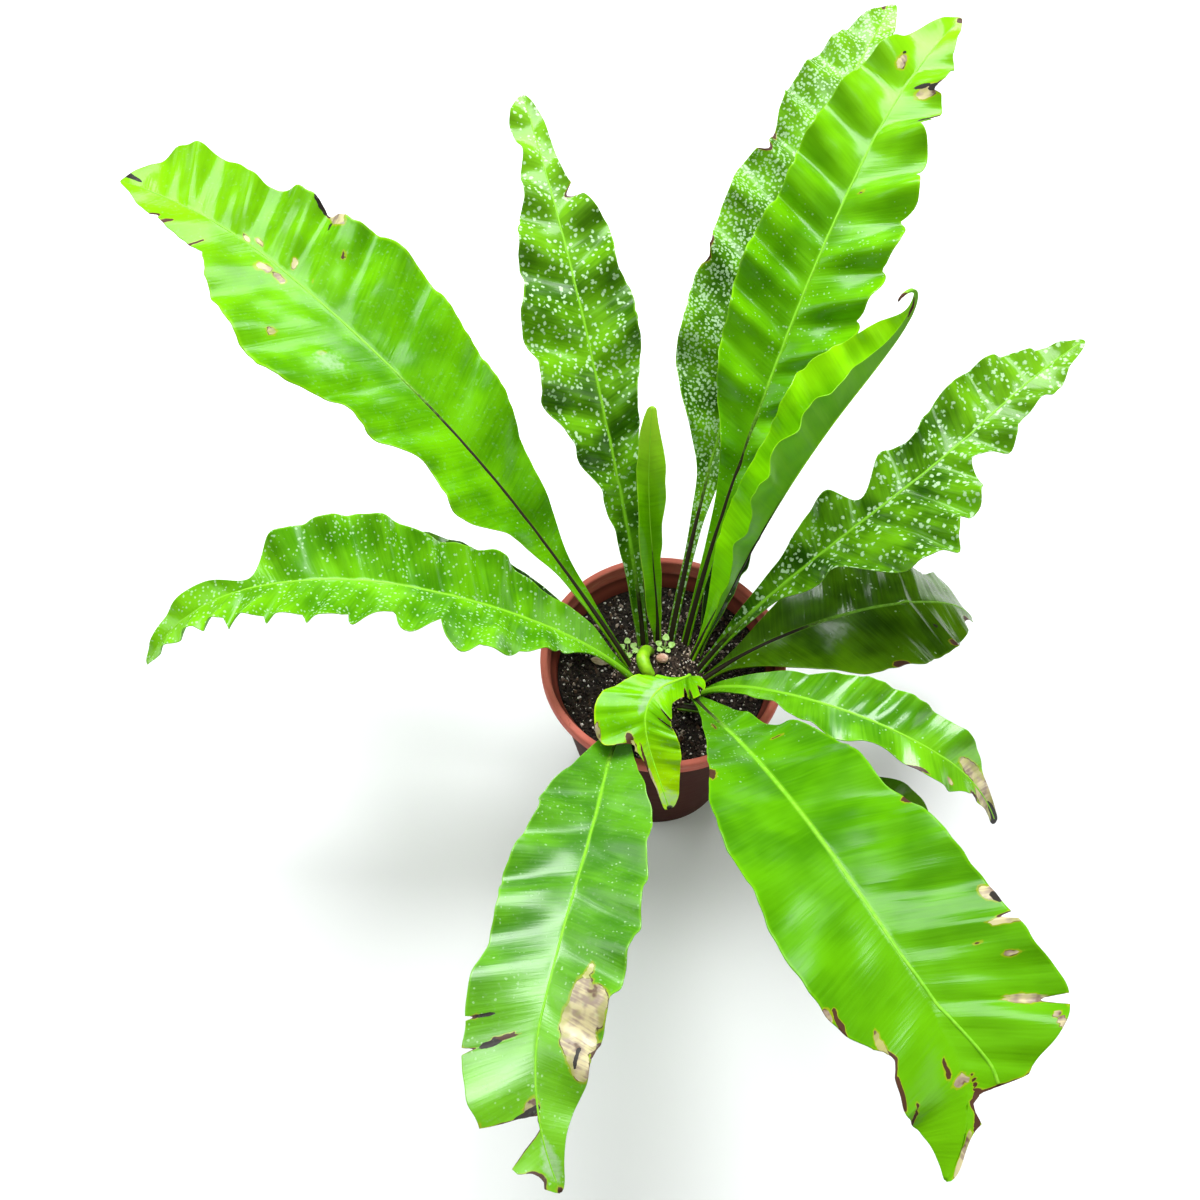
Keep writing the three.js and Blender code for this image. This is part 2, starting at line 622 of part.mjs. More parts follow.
function part(name, geometry, color, roughness) {
  const mesh = new THREE.Mesh(geometry, new THREE.MeshStandardMaterial({ color, roughness, metalness: 0 }));
  mesh.name = name;
  return mesh;
}

// Lays a loose piece down on the piece that carries it
function seated(piece, carrier) {
  piece.position.z = seatHeight(piece.geometry, toSolid(carrier.geometry));
  return piece;
}

const fern = new THREE.Group();
fern.name = 'potted_birds_nest_fern';

const pot = part('pot', potGeometry(), BROWN.pot, ROUGHNESS.plastic);
const soil = part('soil', soilGeometry(), BROWN.soil, ROUGHNESS.earth);
const rootstock = part('rootstock', rootstockGeometry(), BROWN.rootstock, ROUGHNESS.earth);
fern.add(pot, soil, rootstock);

for (const frond of FRONDS) {
  fern.add(part(frond.name, bladeGeometry(frondRows(frond)), frond.colour, ROUGHNESS.blade));
}
fern.add(part('crosier', crosierGeometry(), GREEN.young, ROUGHNESS.blade));
for (const tuft of SEEDLINGS) {
  fern.add(part(tuft.name, toGeometry(seedlingSolid(tuft)), GREEN.seedling, ROUGHNESS.blade));
}

const chip = part('leaf_chip', leafChipGeometry(), BROWN.chip, ROUGHNESS.earth);
const pebble = part('pebble', pebbleGeometry(), BROWN.pebble, ROUGHNESS.earth);
fern.add(seated(chip, soil), seated(pebble, rootstock));

export default fern;
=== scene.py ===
"""A potted bird's nest fern: fine blades, crown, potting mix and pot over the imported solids."""

import logging
import math
from dataclasses import dataclass, replace
from enum import Enum
from typing import Any

import bpy
import numpy as np
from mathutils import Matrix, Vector


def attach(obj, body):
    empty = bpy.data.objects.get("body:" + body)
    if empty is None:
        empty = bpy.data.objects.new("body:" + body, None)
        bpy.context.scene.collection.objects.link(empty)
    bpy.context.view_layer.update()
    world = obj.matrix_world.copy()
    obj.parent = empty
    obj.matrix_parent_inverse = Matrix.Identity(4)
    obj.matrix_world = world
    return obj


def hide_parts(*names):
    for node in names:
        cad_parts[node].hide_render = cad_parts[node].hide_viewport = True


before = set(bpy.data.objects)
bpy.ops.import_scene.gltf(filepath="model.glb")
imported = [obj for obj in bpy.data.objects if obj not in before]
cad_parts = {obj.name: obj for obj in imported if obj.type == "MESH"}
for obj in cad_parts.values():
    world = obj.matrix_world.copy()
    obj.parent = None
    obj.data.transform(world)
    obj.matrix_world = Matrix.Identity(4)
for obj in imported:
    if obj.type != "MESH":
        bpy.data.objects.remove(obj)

LOG = logging.getLogger("fern")

Colour = tuple[float, float, float]
Point = tuple[float, float, float]
Sizes = tuple[float, ...]
Array = np.ndarray
Faces = list[tuple[int, ...]]
Settings = dict[str, Any] | None
Inputs = dict[str | int, Any] | None

MM = 0.001
FULL_TURN = 2 * math.pi


def new_node(tree: bpy.types.NodeTree, kind: str, settings: Settings, inputs: Inputs) -> bpy.types.Node:
    """Adds one node to a tree.

    Args:
        tree: A material's or a recipe's tree.
        kind: The node's type.
        settings: The node's own settings, set first.
        inputs: Values, shades or sockets, by socket name or number.

    Returns:
        The node.
    """
    made = tree.nodes.new(kind)
    for key, value in (settings or {}).items():
        setattr(made, key, value)
    for key, value in (inputs or {}).items():
        source = getattr(value, "socket", value)
        if isinstance(source, bpy.types.NodeSocket):
            tree.links.new(source, made.inputs[key])
        else:
            made.inputs[key].default_value = value
    return made


class Shade:
    """One output of a material's nodes, on which Python's own operators work."""

    def __init__(self, paint: "Paint", socket: bpy.types.NodeSocket) -> None:
        """Keeps the material and the output."""
        self.paint = paint
        self.socket = socket

    def _math(self, operation: str, first: Any, second: Any = 0.0) -> "Shade":
        """Adds one Math node.

        Args:
            operation: The Math node's operation.
            first: A shade or a number.
            second: A shade or a number.

        Returns:
            The node's value.
        """
        return self.paint.node("ShaderNodeMath", {"operation": operation}, {0: first, 1: second})

    def __add__(self, other: Any) -> "Shade":
        """The sum."""
        return self._math("ADD", self, other)

    def __sub__(self, other: Any) -> "Shade":
        """The difference."""
        return self._math("SUBTRACT", self, other)

    def __rsub__(self, other: Any) -> "Shade":
        """The difference, from a number."""
        return self._math("SUBTRACT", other, self)

    def __mul__(self, other: Any) -> "Shade":
        """The product."""
        return self._math("MULTIPLY", self, other)

    __radd__ = __add__
    __rmul__ = __mul__

    def __abs__(self) -> "Shade":
        """The value without its sign."""
        return self._math("ABSOLUTE", self)

    def most(self, other: Any) -> "Shade":
        """The larger of two values."""
        return self._math("MAXIMUM", self, other)

    def sibling(self, name: str) -> "Shade":
        """Another output of the same node."""
        return Shade(self.paint, self.socket.node.outputs[name])

    def rise(self, low: float, high: float) -> "Shade":
        """A smooth step from 0 at low to 1 at high.

        Args:
            low: Where the step starts; it may be above high, and the step then falls.
            high: Where the step ends.

        Returns:
            The step.
        """
        if low > high:
            return 1.0 - self.rise(high, low)
        settings = {"interpolation_type": "SMOOTHSTEP"}
        inputs = {"Value": self, "From Min": low, "From Max": high}
        return self.paint.node("ShaderNodeMapRange", settings, inputs)


class Paint:
    """A material in the making."""

    def __init__(self, name: str) -> None:
        """Starts an empty material.

        Args:
            name: The material's name.
        """
        self.material = bpy.data.materials.new(name)
        self.material.use_nodes = True
        self.tree = self.material.node_tree
        self.tree.nodes.clear()

    def node(
        self, kind: str, settings: Settings = None, inputs: Inputs = None, output: str | int = 0
    ) -> Shade:
        """Adds one node.

        Args:
            kind: The node's type.
            settings: The node's own settings.
            inputs: Values or shades, by socket name or number.
            output: The output that is wanted.

        Returns:
            The output as a shade.
        """
        return Shade(self, new_node(self.tree, kind, settings, inputs).outputs[output])

    def attribute(self, name: str) -> Shade:
        """A named number that the mesh carries."""
        return self.node("ShaderNodeAttribute", {"attribute_name": name}, output="Fac")

    def object_place(self) -> Shade:
        """The place on the object, in metres."""
        return self.node("ShaderNodeTexCoord", output="Object")

    def vector(self, x: Any, y: Any, z: Any = 0.0) -> Shade:
        """Three values as one vector."""
        return self.node("ShaderNodeCombineXYZ", inputs={0: x, 1: y, 2: z})

    def noise(self, place: Shade, scale: float, detail: float = 2.0) -> Shade:
        """Soft noise between about 0.2 and 0.8.

        Args:
            place: Where the noise is read.
            scale: Its waves in each unit of place.
            detail: How many finer layers it has.

        Returns:
            The noise.
        """
        inputs = {"Vector": place, "Scale": scale, "Detail": detail}
        return self.node("ShaderNodeTexNoise", inputs=inputs)

    def cells(self, place: Shade, scale: float) -> tuple[Shade, Shade]:
        """A Voronoi pattern.

        Args:
            place: Where it is read.
            scale: Its cells in each unit of place.

        Returns:
            The distance to the cell's middle, and a random number for each cell.
        """
        inputs = {"Vector": place, "Scale": scale}
        distance = self.node("ShaderNodeTexVoronoi", inputs=inputs)
        parts = self.node("ShaderNodeSeparateColor", inputs={0: distance.sibling("Color")})
        return distance, parts

    def blend(self, share: Any, first: Any, second: Any) -> Shade:
        """Mixes two colours.

        Args:
            share: How much of the second colour there is.
            first: A colour or a shade.
            second: A colour or a shade.

        Returns:
            The mixed colour.
        """
        inputs = {0: share, 6: opaque(first), 7: opaque(second)}
        return self.node("ShaderNodeMix", {"data_type": "RGBA"}, inputs, output=2)

    def bump(self, height: Shade, depth: float, strength: float) -> Shade:
        """Turns a height into a normal.

        Args:
            height: The height, from 0 to 1.
            depth: How many metres a height of 1 stands for.
            strength: How much of the bump is used.

        Returns:
            The normal.
        """
        inputs = {"Height": height, "Distance": depth, "Strength": strength}
        return self.node("ShaderNodeBump", inputs=inputs)

    def solid(self, **inputs: Any) -> Shade:
        """A Principled shader, with its sockets' names written with low lines."""
        named = {key.replace("_", " "): value for key, value in inputs.items()}
        return self.node("ShaderNodeBsdfPrincipled", inputs=named)

    def finished(self, surface: Shade) -> bpy.types.Material:
        """Connects the surface.

        Args:
            surface: The shader that covers the material.

        Returns:
            The material.
        """
        last = self.tree.nodes.new("ShaderNodeOutputMaterial")
        self.tree.links.new(surface.socket, last.inputs["Surface"])
        return self.material

    def coated(
        self,
        colour: Shade,
        rough: Any,
        relief: Shade,
        depth: float,
        strength: float,
        shine: float = 0.5,
        glow: float = 0.0,
    ) -> bpy.types.Material:
        """Finishes the material as one coat with a fine relief.

        Args:
            colour: Its colour.
            rough: Its roughness.
            relief: The height of the relief, from 0 to 1.
            depth: How many millimetres a height of 1 stands for.
            strength: How much of the relief is used.
            shine: How strongly it mirrors.
            glow: The share of the light that shines through from behind.

        Returns:
            The material.
        """
        surface = self.solid(
            Base_Color=colour,
            Roughness=rough,
            Normal=self.bump(relief, depth * MM, strength),
            Specular_IOR_Level=shine,
        )
        if glow:
            through = self.node("ShaderNodeBsdfTranslucent", inputs={"Color": colour})
            surface = self.node("ShaderNodeMixShader", inputs={0: glow, 1: surface, 2: through})
        return self.finished(surface)


def opaque(colour: Any) -> Any:
    """Gives a plain colour the fourth number that a colour socket wants."""
    return (*colour, 1.0) if isinstance(colour, tuple) else colour


class Recipe:
    """A Geometry Nodes tree with named inputs, applied as a plain mesh."""

    def __init__(self, name: str) -> None:
        """Starts a tree with one geometry in, one out, and a finish.

        Args:
            name: The tree's name.
        """
        self.tree = bpy.data.node_groups.new(name, "GeometryNodeTree")
        face = self.tree.interface
        face.new_socket("Geometry", in_out="OUTPUT", socket_type="NodeSocketGeometry")
        face.new_socket("Geometry", in_out="INPUT", socket_type="NodeSocketGeometry")
        face.new_socket("Finish", in_out="INPUT", socket_type="NodeSocketMaterial")
        self.entry = self.tree.nodes.new("NodeGroupInput")

    def named(self, name: str, usual: float, kind: str = "NodeSocketFloat") -> bpy.types.NodeSocket:
        """Adds a named input.

        Args:
            name: The input's name.
            usual: Its usual value.
            kind: The socket's type.

        Returns:
            The output of the entry node that carries it.
        """
        socket = self.tree.interface.new_socket(name, in_out="INPUT", socket_type=kind)
        socket.default_value = usual
        return self.entry.outputs[name]

    def node(
        self, kind: str, settings: Settings = None, inputs: Inputs = None, output: str | int = 0
    ) -> bpy.types.NodeSocket:
        """Adds one node.

        Args:
            kind: The node's type.
            settings: The node's own settings.
            inputs: Values or sockets, by socket name or number.
            output: The output that is wanted.

        Returns:
            The output's socket.
        """
        return new_node(self.tree, kind, settings, inputs).outputs[output]

    def ends_with(self, geometry: bpy.types.NodeSocket) -> "Recipe":
        """Closes the tree with Realize Instances and Set Material.

        Args:
            geometry: What the tree has made.

        Returns:
            The recipe itself.
        """
        plain = self.node("GeometryNodeRealizeInstances", inputs={0: geometry})
        finish = self.entry.outputs["Finish"]
        dressed = self.node("GeometryNodeSetMaterial", inputs={"Geometry": plain, "Material": finish})
        last = self.tree.nodes.new("NodeGroupOutput")
        self.tree.links.new(dressed, last.inputs[0])
        return self

    def made_from(
        self, carrier: bpy.types.Mesh, name: str, finish: bpy.types.Material, **sizes: float
    ) -> bpy.types.Object:
        """Runs the tree on a mesh and keeps the result as a plain object.

        Args:
            carrier: The mesh that the tree starts from.
            name: The new object's name.
            finish: The material of what is made.
            sizes: Values for the tree's inputs, with low lines for spaces.

        Returns:
            The new object.
        """
        helper = add_object(f"{name}_carrier", carrier)
        modifier = helper.modifiers.new("recipe", "NODES")
        modifier.node_group = self.tree
        wanted = {key.replace("_", " "): value for key, value in sizes.items()}
        for item in self.tree.interface.items_tree:
            if item.in_out != "INPUT":
                continue
            if item.name == "Finish":
                modifier[item.identifier] = finish
            if item.name in wanted:
                modifier[item.identifier] = wanted[item.name]
        graph = bpy.context.evaluated_depsgraph_get()
        made = helper.evaluated_get(graph)
        mesh = bpy.data.meshes.new_from_object(made, preserve_all_data_layers=True, depsgraph=graph)
        mesh.name = name
        bpy.data.objects.remove(helper)
        return add_object(name, mesh)


def add_object(name: str, mesh: bpy.types.Mesh) -> bpy.types.Object:
    """Puts a mesh into the scene.

    Args:
        name: The object's name.
        mesh: Its mesh, with its place in its vertices.

    Returns:
        The object.
    """
    made = bpy.data.objects.new(name, mesh)
    bpy.context.scene.collection.objects.link(made)
    return made


def mesh_from(
    name: str, points: Array, faces: Faces, marks: dict[str, Array] | None = None
) -> bpy.types.Mesh:
    """Makes a smooth mesh.

    Args:
        name: The mesh's name.
        points: Its vertices in millimetres.
        faces: The vertex numbers of each face; with none, the points make one line.
        marks: Numbers for each vertex, by attribute name.

    Returns:
        The mesh, in metres.
    """
    mesh = bpy.data.meshes.new(name)
    edges = [] if faces else [(i, i + 1) for i in range(len(points) - 1)]
    mesh.from_pydata((np.asarray(points) * MM).tolist(), edges, faces)
    for key, values in (marks or {}).items():
        layer = mesh.attributes.new(key, "FLOAT", "POINT")
        layer.data.foreach_set("value", np.asarray(values, np.float32).ravel())
    mesh.shade_smooth()
    mesh.update()
    return mesh


def dressed(
    name: str, points: Array, faces: Faces, finish: bpy.types.Material, marks: dict[str, Array] | None = None
) -> bpy.types.Object:
    """Makes one object of points and faces, and gives it its finish.

    Args:
        name: The object's name.
        points: Its vertices in millimetres.
        faces: The vertex numbers of each face.
        finish: Its material.
        marks: Numbers for each vertex, by attribute name.

    Returns:
        The object.
    """
    made = add_object(name, mesh_from(name, points, faces, marks))
    made.data.materials.append(finish)
    return made


def kept(piece: bpy.types.Object, slot: str, *nodes: str) -> None:
    """Makes a piece ride on the part, in the place of its nodes.

    Args:
        piece: The piece.
        slot: The name of a finish in the record; not used.
        nodes: The nodes that it stands for.
    """
    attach(piece, "root")
    if nodes:
        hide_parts(*nodes)
    LOG.info("%s: %d faces", piece.name, len(piece.data.polygons))


def lathe(profile: list[tuple[float, float]], sides: int) -> tuple[Array, Faces]:
    """Turns a profile round the upright axis.

    Args:
        profile: Distance from the axis and height, from the bottom outwards and up.
        sides: How many steps a full turn has.

    Returns:
        The points and the faces, closed at both poles.
    """
    angles = np.arange(sides) * FULL_TURN / sides
    rings = [
        np.stack([r * np.cos(angles), r * np.sin(angles), np.full(sides, z)], 1)
        for r, z in profile
        if r > 0
    ]
    low = np.array([[0, 0, profile[0][1]]])
    high = np.array([[0, 0, profile[-1][1]]])
    points = np.vstack([*rings, low, high])
    bottom, top = len(points) - 2, len(points) - 1
    last = (len(rings) - 1) * sides
    faces = []
    for j in range(sides):
        k = (j + 1) % sides
        faces.append((bottom, k, j))
        faces.append((top, last + j, last + k))
        for i in range(len(rings) - 1):
            here = i * sides
            faces.append((here + j, here + k, here + sides + k, here + sides + j))
    return points, faces


class Side(Enum):
    """The two halves of a blade, seen from its base."""

    LEFT = 1
    RIGHT = -1


class Decay(Enum):
    """What a patch of a blade has dried to; the frosted kind is partly a painted sheen."""

    BROWN = "brown"
    CREAM = "cream"
    BLACK = "black"
    # Frosted: whitish green, partly dusty dried bloom and partly a painted sheen.
    FROST_AND_SHEEN = "frost"


@dataclass(frozen=True)
class Scar:
    """A dead patch, or a frosted one that is partly a painted sheen: its kind, its middle (place along,
    signed share across) and its half sizes in mm.
    """

    kind: Decay
    place: float
    share: float
    long: float
    wide: float


@dataclass(frozen=True)
class Bite:
    """A piece missing from the margin: where it is, and how deep and how wide in mm."""

    side: Side
    place: float
    depth: float
    width: float


@dataclass(frozen=True)
class Ruffle:
    """The waves of a blade: height in mm, number, phase and strength of each half, and how they run in."""

    height: float
    waves: float
    phase: tuple[float, float]
    power: float = 1.15
    frill: float = 0.18
    bands: float = 0.24
    halves: tuple[float, float] = (1, 1)


@dataclass(frozen=True)
class Pleats:
    """Narrow folds along the side veins: their height on each half in mm, number and start."""

    left: float
    right: float
    waves: float
    start: float = 0.3


@dataclass(frozen=True)
class Lobes:
    """Rounded lobes along one margin, with narrow notches between them; depth in mm."""

    side: Side
    count: float
    depth: float
    shift: float = 0.0


@dataclass(frozen=True)
class Crease:
    """One sharp fold across a blade: its place, height and half width in mm."""

    place: float
    height: float
    width: float


@dataclass(frozen=True)
class Specks:
    """White lime specks: the share of cells that have one, pitch in mm, size, whiteness and last place."""

    share: float
    pitch: float = 3.0
    size: float = 0.2
    white: float = 0.85
    until: float = 2.0


@dataclass(frozen=True)
class BladeFinish:
    """A blade's slot in the record, its greens, gloss and specks, and how far its midrib is dark."""

    slot: str
    deep: Colour
    bright: Colour
    tip: Colour
    under: Colour = (0.11, 0.38, 0.004)
    specks: Specks | None = None
    gloss: float = 0.22
    shine: float = 0.4
    dark_until: float = 0.3


def dead(**patches: tuple[Sizes, ...]) -> tuple[Scar, ...]:
    """Lists dead and frosted patches by kind; the frosted ones are partly a painted sheen.

    Args:
        patches: For a kind of decay, each patch's place, share across, half length and half width.

    Returns:
        The patches.
    """
    return tuple(Scar(Decay(kind), *patch) for kind, found in patches.items() for patch in found)


def notched(left: tuple[Sizes, ...] = (), right: tuple[Sizes, ...] = ()) -> tuple[Bite, ...]:
    """Lists the notches of both margins.

    Args:
        left: Each notch's place, depth and width on the left margin.
        right: The same on the right margin.

    Returns:
        The notches.
    """
    return tuple(Bite(Side.LEFT, *n) for n in left) + tuple(Bite(Side.RIGHT, *n) for n in right)


BRIGHT = BladeFinish("frond_bright", (0.075, 0.3, 0.0005), (0.17, 0.54, 0.001), (0.34, 0.74, 0.008))
MID = BladeFinish("frond_mid", (0.065, 0.28, 0.0015), (0.2, 0.6, 0.004), (0.28, 0.7, 0.012))
DARK = BladeFinish(
    "frond_dark", (0.025, 0.11, 0.0015), (0.18, 0.5, 0.006), (0.27, 0.63, 0.02), under=(0.06, 0.19, 0.005)
)
YOUNG = BladeFinish(
    "frond_young", (0.1, 0.34, 0.0005), (0.22, 0.6, 0.0005), (0.38, 0.8, 0.002), under=(0.09, 0.32, 0.002)
)

BROWN_EDGE: Colour = (0.085, 0.03, 0.012)
YELLOWED: Colour = (0.5, 0.42, 0.02)
DEAD_CREAM: Colour = (0.66, 0.58, 0.32)
DEAD_GREY: Colour = (0.36, 0.27, 0.2)
DEAD_BROWN: Colour = (0.17, 0.1, 0.06)
DEAD_OLIVE: Colour = (0.42, 0.42, 0.1)
BLACK_BROWN: Colour = (0.02, 0.013, 0.008)
SPECK: Colour = (0.6, 0.85, 0.5)
# Whitish green of the frosted patches, partly a painted sheen.
DUSTY_WHITE_AND_SHEEN: Colour = (0.42, 0.6, 0.34)
PALE_RIB: Colour = (0.22, 0.53, 0.02)
DARK_RIB: Colour = (0.022, 0.014, 0.007)

STREAK_STRENGTH = 0.5
# The share of the light that shines through a blade from behind.
LEAF_GLOW = 0.28
NOISE_WAVES = 7


def sampled(values: Sizes, place: Array) -> Array:
    """Reads a list of values spread evenly from the base to the tip, straight between them.

    Args:
        values: The values; a single one holds everywhere.
        place: Where it is read, from 0 at the base to 1 at the tip.

    Returns:
        The value at each place.
    """
    stations = np.linspace(0, 1, max(len(values), 2))
    both = values if len(values) > 1 else values * 2
    return np.interp(np.clip(place, 0, 1), stations, both)


def smooth_sampled(values: Sizes, place: Array) -> Array:
    """Reads the same kind of list with a smooth curve through its values.

    Args:
        values: At least two values.
        place: Where it is read, from 0 at the base to 1 at the tip.

    Returns:
        The value at each place.
    """
    held = np.array(values, float)
    last = len(held) - 1
    spot = np.clip(place, 0, 1) * last
    index = np.minimum(np.floor(spot).astype(int), last - 1)
    before, here, after, beyond = (held[np.clip(index + k, 0, last)] for k in (-1, 0, 1, 2))
    u = spot - index
    bend = (2 * before - 5 * here + 4 * after - beyond) * u**2
    turn = (3 * here - before - 3 * after + beyond) * u**3
    return here + 0.5 * ((after - before) * u + bend + turn)


def smooth_step(value: Array, low: float, high: float) -> Array:
    """A smooth step from 0 at low to 1 at high."""
    t = np.clip((value - low) / (high - low), 0, 1)
    return t * t * (3 - 2 * t)


def soft_noise(x: Array, y: Array, pitch: float, seed: int) -> Array:
    """Uneven waves between about -1 and 1.

    Args:
        x: First coordinate.
        y: Second coordinate.
        pitch: The usual length of a wave.
        seed: What tells one pattern from another.

    Returns:
        The height of the waves.
    """
    draw = np.random.default_rng(seed)
    total = np.zeros(np.broadcast(x, y).shape)
    for _ in range(NOISE_WAVES):
        turn = draw.uniform(0, FULL_TURN)
        rate = FULL_TURN / (pitch * draw.uniform(0.7, 1.8))
        total += np.sin(rate * (x * np.cos(turn) + y * np.sin(turn)) + draw.uniform(0, FULL_TURN))
    return total / (NOISE_WAVES / 2)


# Where extra rows run across a notch, in widths of the notch.
NOTCH_ROWS = (-0.6, -0.5, -0.44, -0.35, -0.2, 0, 0.2, 0.35, 0.44, 0.5, 0.6)
# Rows closer together than this, in mm, are left out.
LEAST_ROW_GAP = 0.15
# How far out along a side vein the blade's columns of points lie, closer together near the margin.
COLUMN_SHARES = (0.06, 0.13, 0.2, 0.28, 0.36, 0.44, 0.52, 0.6, 0.68, 0.75, 0.81, 0.87, 0.92, 0.96, 0.985, 1)
MIDRIB_STEPS = 800
# The place along the midrib where the stalk has widened into a thin blade.
STALK_END = 0.3


@dataclass
class Frond:
    """One frond: a midrib that bends through the air, and side veins that carry the blade."""

    name: str
    finish: BladeFinish
    base: Point
    length: float
    heading: Sizes
    rise: Sizes
    fold: Sizes
    left: Sizes
    right: Sizes
    ruffle: Ruffle
    twist: Sizes = (0,)
    pleats: Pleats = Pleats(0.25, 0.25, 30)
    creases: tuple[Crease, ...] = ()
    scars: tuple[Scar, ...] = ()
    bites: tuple[Bite, ...] = ()
    lobes: tuple[Lobes, ...] = ()
    rib_shift: Sizes = (0, 0)
    rib_ends: float = 0.985
    seed: int = 1
    step: float = 1.7
    vein_lean: float = 22
    buried: float = 8
    ruffle_start: tuple[float, float] = (0.12, 0.32)
    full_width: float = 26
    shares: Sizes = COLUMN_SHARES
    blade_thickness: tuple[float, float] = (1.0, 0.5)
    stalk_thickness: float = 3.4
    rib_radius: Sizes = (2.0, 1.7, 1.3, 1.05, 0.9, 0.8, 0.7, 0.55, 0.4)

    def axes(self, place: Array) -> tuple[Array, Array, Array]:
        """Finds the directions of the blade.

        Args:
            place: The places along the midrib.

        Returns:
            The directions along the midrib, to the left and upwards at each place.
        """
        heading = np.radians(sampled(self.heading, place))
        rise = np.radians(sampled(self.rise, place))
        twist = np.radians(sampled(self.twist, place))[:, None]
        flat = np.cos(rise)
        along = np.stack([flat * np.cos(heading), flat * np.sin(heading), np.sin(rise)], 1)
        level = np.stack([-np.sin(heading), np.cos(heading), 0 * heading], 1)
        upright = np.cross(along, level)
        left = level * np.cos(twist) + upright * np.sin(twist)
        up = upright * np.cos(twist) - level * np.sin(twist)
        return along, left, up

    def places(self) -> Array:
        """The places of the rows, with closer rows round each notch.

        Returns:
            The places, from the buried foot to the tip.
        """
        foot = -self.buried / self.length
        count = math.ceil((self.length + self.buried) / self.step)
        even = np.linspace(foot, 1, count + 1)
        near = np.array(NOTCH_ROWS)
        extra = [bite.place + near * bite.width / self.length for bite in self.bites]
        rows = np.sort(np.concatenate([even, *extra]))
        rows = rows[(rows > foot) & (rows < 1)]
        apart = np.diff(rows, prepend=-1) * self.length > LEAST_ROW_GAP
        return np.concatenate([[even[0]], rows[apart], [1]])

    def midrib(self, place: Array) -> Array:
        """Finds the midrib by adding up its directions from the base.

        Args:
            place: The places along the midrib.

        Returns:
            Its points.
        """
        fine = np.linspace(0, 1, MIDRIB_STEPS + 1)
        middles = (fine[1:] + fine[:-1]) / 2
        steps = self.axes(middles)[0] * self.length / MIDRIB_STEPS
        path = np.vstack([self.base, np.array(self.base) + np.cumsum(steps, 0)])
        points = np.stack([np.interp(place, fine, path[:, k]) for k in range(3)], 1)
        foot = self.axes(np.zeros(1))[0] * self.length
        return points + np.minimum(place, 0)[:, None] * foot

    def vein_lengths(self, place: Array, side: Side) -> tuple[Array, Array]:
        """Measures the side veins of one half, with its lobes and notches.

        Args:
            place: The places along the midrib.
            side: The half.

        Returns:
            The veins' lengths, and how near the margin is to a notch, from 0 to 1.
        """
        values = self.left if side is Side.LEFT else self.right
        length = smooth_sampled(values, place)
        ragged = soft_noise(place * self.length, 0 * place + side.value * 50, 9, self.seed)
        length = length + 0.5 * ragged * smooth_step(length, 8, 30)
        for lobes in self.lobes:
            if lobes.side is side:
                bulge = np.sqrt(np.abs(np.sin(math.pi * (lobes.count * place + lobes.shift)))) - 0.75
                length = length + lobes.depth * bulge * smooth_step(length, 6, 40)
        bitten = np.zeros_like(place)
        for bite in self.bites:
            if bite.side is not side:
                continue
            away = np.abs(place - bite.place) * self.length / (bite.width / 2)
            hollow = np.clip(1 - away**2, 0, 1) ** 1.2
            chew = 1 + 0.12 * soft_noise(place * self.length, 0 * place, 3.5, self.seed + 5)
            length = length - bite.depth * hollow * chew
            bitten = np.maximum(bitten, np.clip(1.25 - away * 0.8, 0, 1))
        ending = np.clip((place - 0.975) / 0.025, 0, 1)
        return np.maximum(length, 0.6) * np.sqrt(1 - 0.96 * ending**2), bitten

    def lift(self, place: Array, vein: Array, share: Array, side: Side) -> Array:
        """Finds how far ruffles, pleats and creases lift the blade off its plain surface.

        Args:
            place: The places along the midrib.
            vein: The side veins' lengths.
            share: How far out along the vein each point lies.
            side: The half of the blade.

        Returns:
            The lift in mm.
        """
        index = 0 if side is Side.LEFT else 1
        turn = math.radians(self.ruffle.phase[index])
        wander = 0.3 * np.sin(FULL_TURN * 1.3 * place + 2 * turn)
        full = smooth_step(place, *self.ruffle_start) * np.minimum(1, vein / self.full_width)
        waves = FULL_TURN * (self.ruffle.waves * place + wander)
        main = np.sin(waves + turn) * share**self.ruffle.power
        frill = self.ruffle.frill * np.sin(2.3 * waves + 1.7 * turn) * share**4
        bands = self.ruffle.bands * np.sin(1.9 * waves + 0.6 * turn) * np.sqrt(share) * (1 - 0.5 * share)
        lift = self.ruffle.height * self.ruffle.halves[index] * full * (main + frill + bands)
        folds = FULL_TURN * (self.pleats.waves * place + 2 * wander)
        height = (self.pleats.left, self.pleats.right)[index]
        begun = smooth_step(place, self.pleats.start, self.pleats.start + 0.15)
        lift = lift + height * begun * full * np.sin(folds) * np.sqrt(share) * (1 - 0.4 * share)
        for crease in self.creases:
            away = (place - crease.place) * self.length / crease.width
            lift = lift + crease.height * np.exp(-(away**2)) * (1 - 0.3 * share)
        return lift

